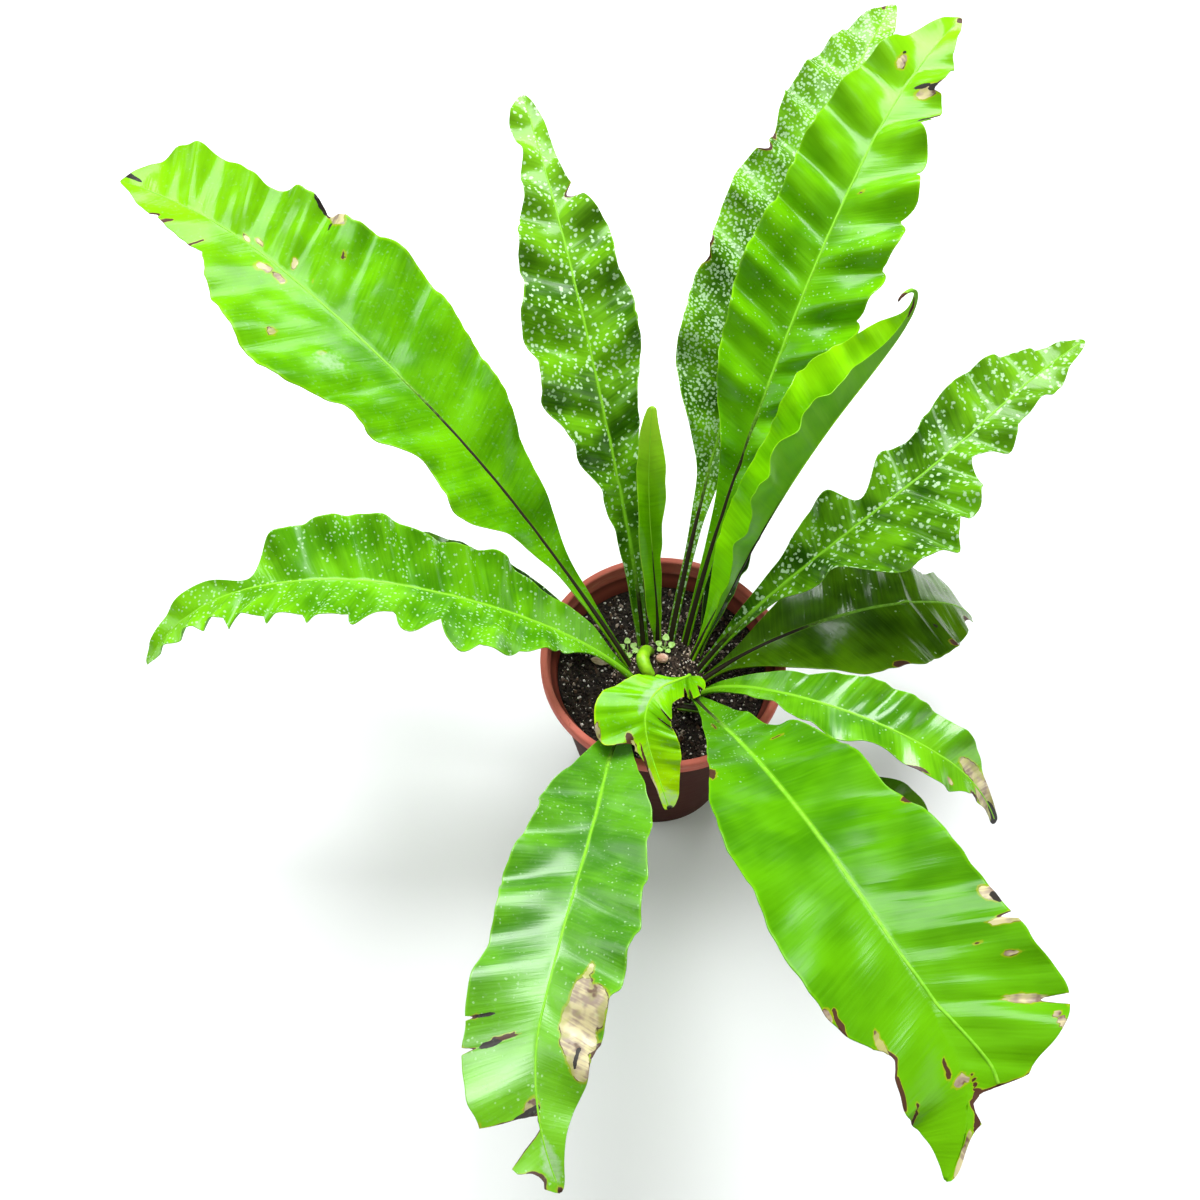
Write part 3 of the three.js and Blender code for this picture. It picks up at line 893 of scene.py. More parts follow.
    def sheet(self, place: Array) -> tuple[Array, dict[str, Array]]:
        """The blade's middle surface.

        Args:
            place: The rows' places.

        Returns:
            Its points, row by row from the left margin to the right, and the marks on them.
        """
        along, left, up = self.axes(place)
        middle = self.midrib(place)
        fold = np.radians(sampled(self.fold, place))[:, None]
        lean = math.radians(self.vein_lean)
        columns, shares, across, bitten = [], [], [], []
        halves = [(Side.LEFT, share) for share in self.shares[::-1]]
        halves += [(Side.RIGHT, share) for share in (0.0, *self.shares)]
        for side, share in halves:
            vein, chewed = self.vein_lengths(place, side)
            out = left * side.value * np.cos(fold) + up * np.sin(fold)
            face = up * np.cos(fold) - left * side.value * np.sin(fold)
            row = out * math.cos(lean) + along * math.sin(lean)
            reach = vein * share
            lift = self.lift(place, vein, np.full_like(place, share), side)
            uneven = soft_noise(place * self.length, side.value * reach, 34, self.seed + 9)
            lift = lift + 0.7 * uneven * smooth_step(reach, 2, 18)
            columns.append(middle + row * reach[:, None] + face * lift[:, None])
            shares.append(np.full_like(place, side.value * share))
            across.append(side.value * reach)
            bitten.append(chewed * smooth_step(reach - vein, -2.6, -0.3))
        shift = sampled(self.rib_shift, place)[:, None]
        half_rib = 0.9 * sampled(self.rib_radius, place)[:, None]
        marks = {
            "beside": np.abs(np.stack(across, 1) - shift) / half_rib,
            "share": np.stack(shares, 1),
            "across": np.stack(across, 1) * MM,
            "place": np.repeat(place[:, None], len(columns), 1),
            "along": np.repeat(place[:, None], len(columns), 1) * self.length * MM,
            "brown": np.stack(bitten, 1),
        }
        return np.stack(columns, 1), marks

    def add_scars(self, marks: dict[str, Array]) -> None:
        """Writes the dead and frosted patches into the marks, each strongest at its middle.

        Args:
            marks: The sheet's marks, to which one for each kind of decay is added.
        """
        for kind in (Decay.CREAM, Decay.BLACK, Decay.FROST_AND_SHEEN):
            marks[kind.value] = np.zeros_like(marks["share"])
        for scar in self.scars:
            side = Side.LEFT if scar.share >= 0 else Side.RIGHT
            vein = self.vein_lengths(np.array([scar.place]), side)[0][0]
            off_along = (marks["place"] - scar.place) * self.length
            off_across = marks["across"] / MM - scar.share * vein
            far = np.hypot(off_along, off_across) + 1e-6
            size = np.hypot(off_along / scar.long, off_across / scar.wide) + 1e-6
            soft = float(np.clip(0.5 * min(scar.long, scar.wide), 1.0, 2.5))
            strength = np.clip(0.5 - far * (1 - 1 / size) / (2 * soft), 0, 1)
            marks[scar.kind.value] = np.maximum(marks[scar.kind.value], strength)

    def build_blade(self) -> bpy.types.Object:
        """Builds the blade and its stalk as one closed thin shell.

        Returns:
            The blade, dressed.
        """
        place = self.places()
        sheet, marks = self.sheet(place)
        self.add_scars(marks)
        normals = np.cross(np.gradient(sheet, axis=0), -np.gradient(sheet, axis=1))
        normals /= np.linalg.norm(normals, axis=2, keepdims=True)
        stalk = (1 - smooth_step(place, 0, STALK_END))[:, None]
        share = np.abs(marks["share"])
        rib = self.thickness_at_rib(stalk)
        margin = self.blade_thickness[1] * (1 - stalk**2) + 1.6 * stalk**2
        thickness = rib + (margin - rib) * np.minimum(1, share / 0.6)
        half = normals * thickness[..., None] / 2
        loops = np.concatenate([sheet + half, (sheet - half)[:, ::-1]], 1)
        rows, ring, _ = loops.shape
        faces = []
        for i in range(rows - 1):
            for j in range(ring):
                k = (j + 1) % ring
                here = i * ring
                faces.append((here + j, here + ring + j, here + ring + k, here + k))
        across = ring // 2
        for j in range(across - 1):
            under = ring - 1 - j
            last = (rows - 1) * ring
            faces.append((j, j + 1, under - 1, under))
            faces.append((last + j + 1, last + j, last + under, last + under - 1))
        doubled = {key: np.concatenate([m, m[:, ::-1]], 1) for key, m in marks.items()}
        upper = np.ones_like(marks["share"])
        doubled["upper"] = np.concatenate([upper, 0 * upper], 1)
        kinds = {scar.kind for scar in self.scars}
        if self.bites:
            kinds.add(Decay.BROWN)
        finish = BladePaint(self.name, self.finish, kinds).made()
        return dressed(f"blade_{self.name}", loops.reshape(-1, 3), faces, finish, doubled)

    def thickness_at_rib(self, stalk: Array) -> Array:
        """How thick the blade is at its midrib, where stalk is 1 on the stalk and 0 beyond it."""
        return self.blade_thickness[0] * (1 - stalk) + self.stalk_thickness * stalk

    def rib_path(self) -> tuple[Array, Array]:
        """Draws the midrib's line over the blade.

        Returns:
            Its points, and the place of each of them.
        """
        place = np.linspace(-self.buried / self.length, self.rib_ends, 150)
        sheet, marks = self.sheet(place)
        shift = sampled(self.rib_shift, place)
        across = marks["across"][:, ::-1] / MM
        turned = sheet[:, ::-1]
        points = [
            [np.interp(shift[i], across[i], turned[i, :, k]) for k in range(3)]
            for i in range(len(place))
        ]
        return np.array(points), place

    def build(self, ribs: Recipe) -> None:
        """Builds and dresses the blade and its midrib.

        Args:
            ribs: The recipe that sweeps a round section along a line.
        """
        kept(self.build_blade(), self.finish.slot, f"frond_{self.name}")
        points, place = self.rib_path()
        radius = sampled(self.rib_radius, place)
        half = self.thickness_at_rib(1 - smooth_step(place, 0, STALK_END)) / 2
        lift = self.axes(place)[2] * (half - 0.5 * radius)[:, None]
        line = mesh_from(f"line_{self.name}", points + lift, [], {"width": radius * MM, "place": place})
        rib = ribs.made_from(line, f"rib_{self.name}", rib_paint(self.name, self.finish))
        kept(rib, self.finish.slot)


@dataclass
class BladePaint:
    """The blade's material: veined green with pale specks, a lighter margin, dried patches and frosted
    patches that are partly a painted sheen.
    """

    name: str
    finish: BladeFinish
    kinds: set[Decay]

    def made(self) -> bpy.types.Material:
        """Makes the material.

        Returns:
            The material.
        """
        finish = self.finish
        paint = Paint(f"{self.name}_green")
        far = paint.attribute("place")
        share = abs(paint.attribute("share"))
        upper = paint.attribute("upper")
        beside = paint.attribute("beside")
        place = paint.object_place()
        on_blade = paint.vector(paint.attribute("along") * 1000, paint.attribute("across") * 55)
        streaks = paint.noise(on_blade, 0.6, 2)
        mottle = paint.noise(place, 38, 2)
        tone = 0.5 + (mottle - 0.5) * 1.5 + (streaks - 0.5) * STREAK_STRENGTH
        green = paint.blend(tone.rise(0.1, 0.9), finish.deep, finish.bright)
        lighter = (far.rise(0.55, 1.1) * 0.6).most(share.rise(0.955, 0.995) * 0.5)
        green = paint.blend(lighter, green, finish.tip)
        green = paint.blend((1 - upper) * 0.6, green, finish.under)
        green = paint.blend(beside.rise(1.8, 1.1) * 0.55, green, PALE_RIB)
        if finish.dark_until > 0:
            near = far.rise(finish.dark_until + 0.08, finish.dark_until - 0.04)
            green = paint.blend(beside.rise(1.2, 0.9) * near, green, DARK_RIB)
        rough = 0.5 - upper * (0.5 - finish.gloss) + (streaks - 0.5) * 0.14
        if finish.specks:
            dots = self.speckled(paint, place, far, beside) * upper
            green = paint.blend(dots * finish.specks.white, green, SPECK)
            rough = rough + dots * 0.25
        if self.kinds:
            green, dried = self.dried(paint, place, streaks, green)
            rough = rough + dried * 0.35
        return paint.coated(green, rough, streaks, 0.3, 0.55, finish.shine, LEAF_GLOW)

    def speckled(self, paint: Paint, place: Shade, far: Shade, beside: Shade) -> Shade:
        """Scatters white lime specks, some of them close together.

        Args:
            paint: The material in the making.
            place: The place on the object.
            far: The place along the blade.
            beside: How many half ribs away the midrib is.

        Returns:
            The specks' strength.
        """
        specks = self.finish.specks
        distance, cell = paint.cells(place, 1 / (specks.pitch * MM))
        crowd = paint.noise(place, 30, 1)
        wanted = cell + (crowd - 0.5) * 0.9 + beside.rise(7, 2) * 0.2
        wanted = wanted - far.rise(specks.until - 0.1, specks.until + 0.1)
        chosen = wanted.rise(1 - specks.share, 1.04 - specks.share)
        coarse = (paint.noise(place, 120, 1) - 0.5) * 0.4
        fine = (paint.noise(place, 620, 1) - 0.5) * 0.7
        uneven = distance - coarse - fine
        return uneven.rise(specks.size + 0.09, specks.size - 0.07) * chosen

    def dried(self, paint: Paint, place: Shade, streaks: Shade, green: Shade) -> tuple[Shade, Shade]:
        """Lays the dried patches over the green, with ragged yellowed edges, and the frosted patches that
        are partly a painted sheen.

        Args:
            paint: The material in the making.
            place: The place on the object.
            streaks: The streaks along the side veins.
            green: The living blade's colour.

        Returns:
            The colour, and how dead the blade is.
        """
        ragged = (paint.noise(place, 230, 3) - 0.5) * 0.9 + (paint.noise(place, 90, 2) - 0.5) * 1.3

        def ragged_mark(kind: Decay) -> Shade:
            """One kind's mark, made ragged where there is any of it."""
            mark = paint.attribute(kind.value)
            return mark + ragged * mark.rise(0, 0.2)

        brown_mark = ragged_mark(Decay.BROWN)
        cream_mark = ragged_mark(Decay.CREAM)
        worst = brown_mark.most(cream_mark)
        rim = cream_mark.rise(0.38, 0.46) * paint.noise(place, 130, 1).rise(0.46, 0.6)
        dead_share = brown_mark.rise(0.44, 0.54).most(rim)
        green = paint.blend(worst.rise(0.14, 0.36) * 0.45, green, YELLOWED)
        green = paint.blend(dead_share, green, BROWN_EDGE)
        if Decay.CREAM in self.kinds:
            blotch = paint.noise(place, 140, 2)
            dry = paint.blend((streaks * 0.5 + blotch * 0.7).rise(0.5, 0.7), DEAD_CREAM, DEAD_GREY)
            dry = paint.blend(paint.noise(place, 75, 2).rise(0.48, 0.6) * 0.7, dry, DEAD_OLIVE)
            dry = paint.blend(blotch.rise(0.62, 0.7), dry, DEAD_BROWN)
            green = paint.blend(cream_mark.rise(0.5, 0.58), green, dry)
        if Decay.BLACK in self.kinds:
            black = ragged_mark(Decay.BLACK).rise(0.45, 0.55)
            green = paint.blend(black, green, BLACK_BROWN)
            dead_share = dead_share.most(black)
        # Frosted patches: whitish green laid over the blade, partly dusty dried bloom and partly a painted
        # sheen.
        if Decay.FROST_AND_SHEEN in self.kinds:
            grain = (paint.noise(place, 420, 3) - 0.5) * 2
            frost = (paint.attribute("frost") + grain).rise(0.1, 1.2) * 0.7
            green = paint.blend(frost, green, DUSTY_WHITE_AND_SHEEN)
            dead_share = dead_share.most(frost)
        return green, dead_share


def rib_paint(name: str, finish: BladeFinish) -> bpy.types.Material:
    """The midrib's material: black-brown near the crown and pale green beyond.

    Args:
        name: The frond's name.
        finish: How far the dark part goes.

    Returns:
        The material.
    """
    paint = Paint(f"{name}_rib")
    place = paint.object_place()
    fibres = paint.noise(place, 420, 3)
    until = finish.dark_until
    dark = (paint.attribute("place") + (fibres - 0.5) * 0.12).rise(until + 0.07, until - 0.07)
    pale = paint.blend(fibres.rise(0.3, 0.7) * 0.7 + 0.2, finish.bright, PALE_RIB)
    colour = paint.blend(dark, pale, DARK_RIB)
    return paint.coated(colour, 0.42 + fibres * 0.2, fibres, 0.2, 0.5, 0.3)


def swept_recipe() -> Recipe:
    """Makes the recipe that sweeps a round section along a line, as wide as the line's width says.

    Returns:
        The recipe.
    """
    recipe = Recipe("swept_line")
    sides = recipe.named("Sides", 10, "NodeSocketInt")
    scale = recipe.named("Thickness", 1.0)
    width = recipe.node("GeometryNodeInputNamedAttribute", {"data_type": "FLOAT"}, {"Name": "width"})
    radius = recipe.node("ShaderNodeMath", {"operation": "MULTIPLY"}, {0: width, 1: scale})
    line = recipe.node("GeometryNodeMeshToCurve", inputs={0: recipe.entry.outputs["Geometry"]})
    ring = recipe.node("GeometryNodeCurvePrimitiveCircle", inputs={"Resolution": sides, "Radius": 1.0})
    swept = {"Curve": line, "Profile Curve": ring, "Scale": radius, "Fill Caps": True}
    tube = recipe.node("GeometryNodeCurveToMesh", inputs=swept)
    return recipe.ends_with(recipe.node("GeometryNodeSetShadeSmooth", inputs={"Geometry": tube}))


FRONDS = (
    Frond(
        name="far_left",
        finish=replace(
            BRIGHT, dark_until=0.5, shine=0.26, specks=Specks(0.12, pitch=2.2, white=0.4, until=0.35),
        ),
        base=(-22, 0, 130),
        length=420,
        heading=(145, 141, 142, 143, 163),
        rise=(56, 43, 27, 16, 8),
        fold=(30, 14, 10),
        left=(3, 3, 5, 9, 22, 44, 34, 47, 48, 65, 63, 54, 42, 26, 24, 15, 3),
        right=(3, 3, 5, 8, 18, 26, 39, 47, 53, 59, 60, 52, 50, 40, 44, 33, 3),
        ruffle=Ruffle(5, 11, (270, 0), halves=(0.5, 1)),
        pleats=Pleats(0.15, 1.1, 33, 0.6),
        scars=dead(
            cream=(
                (0.75, 0.2, 4.5, 3), (0.728, 0.15, 5, 1.6), (0.805, -0.07, 2.6, 1.6),
                (0.787, -0.14, 3.2, 1.6), (0.728, -0.18, 2, 3.6), (0.635, 0.68, 2.6, 2.4),
                (0.7, -0.97, 6, 5),
            ),
            black=((0.725, -1, 6, 3), (0.705, -0.86, 1.5, 2.5), (0.985, -0.6, 7, 1.6)),
            brown=(
                (0.693, -0.15, 1.2, 1), (0.667, -0.58, 1.2, 1.8), (0.585, 0.42, 1.2, 1.2),
                (0.88, 0.9, 1.3, 5), (0.83, 0.85, 1, 5),
            ),
            # Frosted patch: whitish green, partly a painted sheen.
            frost=((0.57, 0.45, 8, 6),),
        ),
        bites=notched(left=((0.9, 1.5, 9),), right=((0.715, 2.5, 14),)),
        seed=11,
    ),
    Frond(
        name="left",
        finish=replace(MID, dark_until=-1, specks=Specks(0.5, pitch=2.2, size=0.26, white=0.6)),
        base=(-20, -10, 129),
        length=322,
        heading=(176, 181, 181, 190, 214),
        rise=(57, 38, 20, -6, -52),
        fold=(30, 25, 18),
        left=(3, 3, 7, 24, 37, 54, 49, 40, 39, 40, 37, 33, 29, 20, 14, 8, 2),
        right=(3, 6, 14, 18, 21, 33, 32, 32, 39, 39, 35, 28, 6, 14, 12, 7, 3),
        ruffle=Ruffle(4.5, 13, (0, 90), 1.0, 0.05),
        lobes=(Lobes(Side.LEFT, 14, 11, 0.25),),
        seed=12,
    ),
    Frond(
        name="back",
        finish=replace(DARK, dark_until=0.14, specks=Specks(0.7, pitch=3, size=0.3)),
        base=(-12, 14, 132),
        length=345,
        heading=(102, 109, 106, 106, 106),
        rise=(64, 54, 39, 26, 14),
        fold=(30, 16, 12),
        left=(4, 6, 7, 9, 12, 19, 31, 39, 38, 41, 32, 32, 22, 17, 12, 14, 4),
        right=(4, 4, 5, 7, 10, 15, 20, 25, 32, 33, 29, 29, 22, 12, 9, 8, 3),
        ruffle=Ruffle(5.5, 11, (315, 135), 0.95),
        bites=notched(right=((0.785, 7, 10),)),
        seed=13,
    ),
    Frond(
        name="young_upright",
        finish=replace(
            YOUNG, deep=(0.12, 0.38, 0.0005), bright=(0.23, 0.62, 0.0005), tip=(0.6, 0.9, 0.06),
            dark_until=0.42,
        ),
        base=(-3, 17, 133),
        length=150,
        heading=(97, 103, 100, 90, 82),
        rise=(72, 66, 61, 56, 50),
        fold=(40, 45, 35),
        left=(3, 6, 9, 11, 12, 12, 12, 12, 12, 11, 11, 10, 10, 9, 8, 6, 3),
        right=(3, 3, 4, 4, 5, 6, 6, 8, 9, 11, 13, 13, 13, 11, 8, 5, 3),
        ruffle=Ruffle(1, 4, (0, 60)),
        pleats=Pleats(0, 0, 1),
        seed=14,
    ),
    Frond(
        name="back_right",
        finish=replace(DARK, dark_until=0.25, specks=Specks(0.98, pitch=2, size=0.4, white=0.66)),
        base=(6, 18, 132),
        length=430,
        heading=(74, 71, 69, 63, 61),
        rise=(55, 44, 31, 20, 8),
        fold=(30, 14, 12),
        left=(3, 3, 3, 5, 10, 31, 42, 43, 41, 41, 40, 29, 34, 30, 23, 15, 4),
        right=(3, 3, 4, 6, 12, 24, 34, 38, 40, 40, 38, 34, 30, 26, 18, 11, 4),
        ruffle=Ruffle(5, 12, (180, 0), 1.0),
        scars=dead(brown=((0.695, 1, 3, 3), (0.5, 1, 8, 1.2), (0.985, 0.9, 3, 1.5))),
        bites=notched(left=((0.665, 4, 9), (0.49, 3, 11))),
        seed=15,
    ),
    Frond(
        name="tall_right",
        finish=replace(
            BRIGHT, deep=(0.08, 0.31, 0.0005), dark_until=0.36, shine=0.36,
            specks=Specks(0.3, pitch=2, white=0.4, until=0.7),
        ),
        base=(15, 15, 131),
        length=410,
        heading=(69, 63, 63, 60, 47),
        rise=(60, 51, 39, 26, 13),
        fold=(30, 14, 12),
        left=(3, 3, 4, 6, 10, 20, 34, 39, 43, 42, 38, 39, 37, 33, 27, 16, 4),
        right=(3, 3, 4, 6, 10, 21, 32, 39, 42, 44, 43, 41, 32, 27, 22, 12, 3),
        ruffle=Ruffle(5.4, 13, (225, 90), 0.85, 0.1),
        scars=dead(
            cream=((0.845, -0.75, 4, 6), (0.88, 0.4, 5, 3.4)),
            black=(
                (0.855, -0.55, 1.4, 4), (0.85, -0.95, 2, 3), (0.797, -0.92, 3.2, 3.6),
                (0.888, 0.48, 3.4, 1.2),
            ),
            brown=((0.682, -0.2, 1, 2.2), (0.995, -0.5, 2, 3)),
        ),
        bites=notched(right=((0.8, 4, 7), (0.85, 3, 8))),
        lobes=(Lobes(Side.RIGHT, 14, 9, 0.125),),
        seed=16,
    ),
    Frond(
        name="folded",
        finish=replace(
            YOUNG, deep=(0.17, 0.52, 0.0005), bright=(0.36, 0.86, 0.001), dark_until=0.44, gloss=0.2,
        ),
        base=(20, 4, 131),
        length=274,
        heading=(41, 44, 41, 37, 35),
        rise=(66, 64.5, 63, 61.5, 60, 58, 56, 53.5, 51, 48.5, 46, 43, 46, 50, 70, 110, 235),
        fold=(40, 60, 60),
        twist=(-20, -50),
        left=(3, 4, 8, 14, 20, 24, 26, 27, 28, 32, 34, 29, 22, 15, 5, 2.2, 1.5),
        right=(3, 5, 12, 22, 30, 33, 36, 40, 38, 31, 26, 18, 12, 7, 3, 2, 1.5),
        ruffle=Ruffle(2.5, 8, (0, 70)),
        pleats=Pleats(0.5, 0.7, 22, 0.3),
        scars=dead(brown=((0.99, 0, 3, 2), (0.9, -0.9, 8, 0.8))),
        seed=17,
    ),
    Frond(
        name="behind_folded",
        # Greens darkened to near black: painted shade for a frond that lies behind the folded one.
        finish=replace(DARK, deep=(0.006, 0.022, 0.002), bright=(0.025, 0.08, 0.005), specks=Specks(0.15)),
        base=(23, 10, 126),
        length=175,
        heading=(66, 65, 67, 70, 74),
        rise=(36, 24, 8, -12, -30),
        fold=(30, 12),
        left=(3, 4, 8, 12, 15, 17, 18, 19, 19, 18, 17, 16, 14, 12, 9, 6, 3),
        right=(3, 4, 7, 9, 10, 11, 11, 11, 10, 10, 11, 11, 10, 9, 7, 5, 3),
        ruffle=Ruffle(4, 7, (30, 120)),
        seed=18,
    ),
    Frond(
        name="right_speckled",
        finish=replace(DARK, dark_until=0.12, specks=Specks(0.75, pitch=3.5, size=0.3)),
        base=(25, -2, 130),
        length=308,
        heading=(32, 27, 31, 41, 36),
        rise=(52, 35, 23, 14, 4),
        fold=(30, 16, 12),
        left=(3, 4, 7, 10, 15, 24, 29, 12, 28, 22, 29, 32, 31, 26, 16, 9, 3),
        right=(3, 3, 5, 8, 16, 25, 54, 60, 47, 41, 17, 26, 16, 18, 15, 8, 3),
        ruffle=Ruffle(5.5, 11, (315, 45), 1.0),
        seed=19,
    ),
    Frond(
        name="right_blunt",
        finish=replace(
            DARK, deep=(0.026, 0.085, 0.001), bright=(0.1, 0.26, 0.002), tip=(0.16, 0.34, 0.004), gloss=0.2,
            shine=0.5, dark_until=0.35, specks=Specks(0.12, pitch=2.6, white=0.5),
        ),
        base=(28, -8, 126),
        length=220,
        heading=(21, 21, 20, 18, 20),
        rise=(34, 9, -10, -28, -64),
        fold=(25, -5, -15),
        left=(3, 5, 10, 18, 27, 34, 38, 40, 40, 40, 40, 36, 35, 38, 40, 20, 3),
        right=(3, 6, 18, 32, 42, 48, 48, 48, 49, 44, 41, 36, 30, 22, 10, 5, 3),
        ruffle=Ruffle(2.5, 5, (225, 0)),
        creases=(Crease(0.63, 2.2, 4),),
        scars=dead(
            black=((0.672, -0.53, 1.6, 1.6),),
            brown=((0.42, -0.97, 6, 3), (0.682, -0.92, 2.5, 2), (0.9, -0.95, 6, 2)),
        ),
        seed=20,
    ),
    Frond(
        name="right_low",
        finish=replace(
            MID, gloss=0.24, shine=0.9, dark_until=-1, specks=Specks(0.12, pitch=2.2, white=0.45),
        ),
        base=(26, -18, 124),
        length=214,
        heading=(-32, -31, -27, -26, -47),
        rise=(60, 30, 6, -20, -58),
        fold=(30, 14, 10),
        left=(3, 5, 7, 10, 14, 16, 20, 24, 25, 25, 24, 22, 21, 15, 7, 4, 3),
        right=(3, 5, 7, 9, 11, 14, 21, 22, 21, 17, 17, 20, 19, 12, 7, 4, 3),
        ruffle=Ruffle(3, 8, (90, 315)),
        pleats=Pleats(0.9, 0.2, 19, 0.3),
        scars=dead(
            cream=((0.85, 0.55, 14, 5), (0.92, 0, 12, 6), (0.767, -0.7, 2.2, 1.8)),
            black=((0.965, 0.2, 9, 2.6), (0.995, -0.4, 4, 6)),
            brown=((0.66, -0.97, 7, 1.4),),
        ),
        bites=notched(right=((0.86, 2, 12),)),
        seed=21,
    ),
    Frond(
        name="front_right",
        finish=replace(
            BRIGHT, deep=(0.055, 0.24, 0.0005), bright=(0.12, 0.42, 0.001), tip=(0.22, 0.6, 0.003),
            gloss=0.24, shine=0.26, dark_until=0.24, specks=Specks(0.3, pitch=1.9, white=0.38, until=0.45),
        ),
        base=(18, -23, 128),
        length=360,
        heading=(-92, -80, -73, -71, -69, -67, -64, -72, -132),
        rise=(55, 50, 45, 37, 28, 16, 4, -8, -20),
        fold=(30, 15, 12),
        left=(3, 5, 8, 11, 15, 21, 36, 42, 42, 48, 50, 51, 52, 54, 28, 4, 3),
        right=(3, 3, 4, 8, 14, 21, 30, 41, 47, 48, 50, 51, 46, 32, 32, 19, 3),
        ruffle=Ruffle(3.5, 9, (315, 270), halves=(1, 0.4)),
        pleats=Pleats(0.75, 0.1, 30, 0.45),
        scars=dead(
            cream=(
                (0.69, 0.96, 4, 3.5), (0.73, 0.92, 1.4, 7), (0.765, 0.78, 1.1, 4.5), (0.808, 0.84, 1.8, 8),
                (0.835, 1, 5, 1.2), (0.733, -1, 3, 2), (0.805, -1, 9, 2.2), (0.892, -0.05, 2, 4),
                (0.965, 1, 9, 1.6),
            ),
            black=((0.697, 0.98, 2.5, 1.4),),
            brown=(
                (0.54, 1, 2.5, 2), (0.75, 0.6, 0.7, 2.2), (0.757, -1, 9, 1.4), (0.845, -1, 9, 1.6),
                (0.905, -1, 12, 1.6), (0.872, -0.2, 4, 0.9), (0.925, 1, 14, 1.5), (0.4, -0.95, 2.4, 2),
                (0.25, -0.45, 5, 0.9), (0.36, 0.5, 0.9, 4),
            ),
        ),
        bites=notched(left=((0.81, 12, 4), (0.905, 10, 18), (0.725, 5, 4)), right=((0.815, 3, 14),)),
        rib_shift=(0,) * 13 + (2.5, 12.5, 17, 17),
        rib_ends=0.89,
        rib_radius=(1.8, 1.5, 1.45, 1.35, 1.25, 1.1, 0.95, 0.8, 0.6),
        seed=22,
    ),
    Frond(
        name="front_left",
        finish=replace(
            MID, deep=(0.05, 0.235, 0.0015), bright=(0.14, 0.47, 0.004), gloss=0.34, shine=1,
            dark_until=0.2, specks=Specks(0.25, pitch=2, white=0.4),
        ),
        base=(-11, -24, 127),
        length=305,
        heading=(238, 261, 257, 258, 297),
        rise=(22, 26, 20, 3, -18),
        fold=(30, 12, 8),
        twist=(0, 0, 6, 9, 6),
        left=(3, 4, 8, 16, 24, 32, 35, 37, 39, 40, 38, 35, 32, 28, 17, 9, 3),
        right=(3, 4, 7, 14, 23, 33, 34, 38, 39, 37, 36, 39, 36, 34, 27, 16, 3),
        ruffle=Ruffle(3.4, 8.5, (45, 90), 0.75, 0.06, 0.1),
        pleats=Pleats(0.2, 0.3, 22, 0.4),
        scars=dead(
            cream=(
                (0.735, 0.62, 20, 9), (0.7, 0.8, 9, 7), (0.79, 0.8, 10, 6), (0.655, 0.5, 5, 1.6),
                (0.88, -0.2, 3.5, 3),
            ),
            black=(
                (0.79, 0.75, 7, 1), (0.738, -0.82, 1.1, 5), (0.777, -0.74, 1.4, 5), (0.885, -0.55, 1.6, 5),
            ),
            brown=((0.774, -0.5, 0.7, 8), (0.738, -0.97, 1, 3), (1, 0.2, 2, 2)),
            # Frosted patch near the tip: whitish green as a painted sheen on the curled lobes.
            frost=((0.955, 0.1, 9, 4),),
        ),
        bites=notched(
            left=((0.765, 1.5, 12),),
            right=((0.738, 4, 2), (0.777, 5, 2.4), (0.9, 24, 19), (0.96, 4, 12)),
        ),
        seed=23,
    ),
    Frond(
        name="front_small",
        finish=replace(
            YOUNG, deep=(0.11, 0.42, 0.0005), bright=(0.3, 0.8, 0.001), tip=(0.75, 1, 0.001), shine=0.25,
            dark_until=-1,
        ),
        base=(12, -17, 130),
        length=130,
        heading=(340, 285, 232, 212, 238, 275, 292, 293, 292),
        rise=(83, 72, 46, 18, -8, -31, -36, -33, -34),
        fold=(0, -40, 4, 18, 10),
        left=(3, 4, 8, 13, 14, 11, 12, 17, 18, 18, 19, 19, 17, 14, 11, 8, 3),
        right=(3, 3, 4, 6, 9, 12, 15, 20, 28, 30, 25, 10, 6, 5, 4, 3.5, 3),
        ruffle=Ruffle(2, 7, (0, 90)),
        pleats=Pleats(0.6, 0.9, 20, 0.1),
        scars=dead(
            cream=((0.6, -1, 4, 2), (0.69, -1, 6, 1.6), (0.86, -1, 10, 1)),
            black=((0.995, 0.2, 2, 3),),
            brown=((0.655, -0.95, 5, 2.4), (0.8, -1, 16, 1)),
            # Frosted patches: whitish green, partly the whitish dead tip and partly a painted sheen.
            frost=((0.4, -0.1, 6, 5), (0.5, -0.1, 9, 3.5), (0.95, 0.3, 5, 6)),
        ),
        bites=notched(
            left=((0.497, 9, 1.8), (0.552, 10, 2), (0.2, 4, 3), (0.25, 5, 3), (0.3, 4, 3)),
            right=((0.655, 6, 9),),
        ),
        rib_radius=(1.6, 1.2, 0.9, 0.8, 0.7, 0.6, 0.55, 0.5, 0.4),
        seed=24,
    ),
    Frond(
        name="under_right",
        # Greens darkened to near black: painted shade for a frond that lies under the others.
        finish=replace(DARK, deep=(0.005, 0.02, 0.001), bright=(0.02, 0.07, 0.003)),
        base=(11, -27, 122),
        length=165,
        heading=(-24, -35, -36, -30, -22),
        rise=(30, 25, 6, -14, -24),
        fold=(25, 8),
        left=(3, 3, 3, 3, 3, 3, 3, 3, 3, 3, 3, 4, 8, 13, 14, 11, 5),
        right=(3, 3, 3, 3, 3, 3, 3, 3, 3, 3, 3, 4, 7, 11, 12, 9, 4),
        ruffle=Ruffle(3, 5, (0, 100)),
        seed=25,
    ),
    Frond(
        name="under_left",
        # Greens darkened to near black: painted shade for a frond that lies under the others.
        finish=replace(DARK, deep=(0.01, 0.04, 0.003), bright=(0.05, 0.14, 0.01), specks=Specks(0.3)),
        base=(-27, 4, 124),
        length=172,
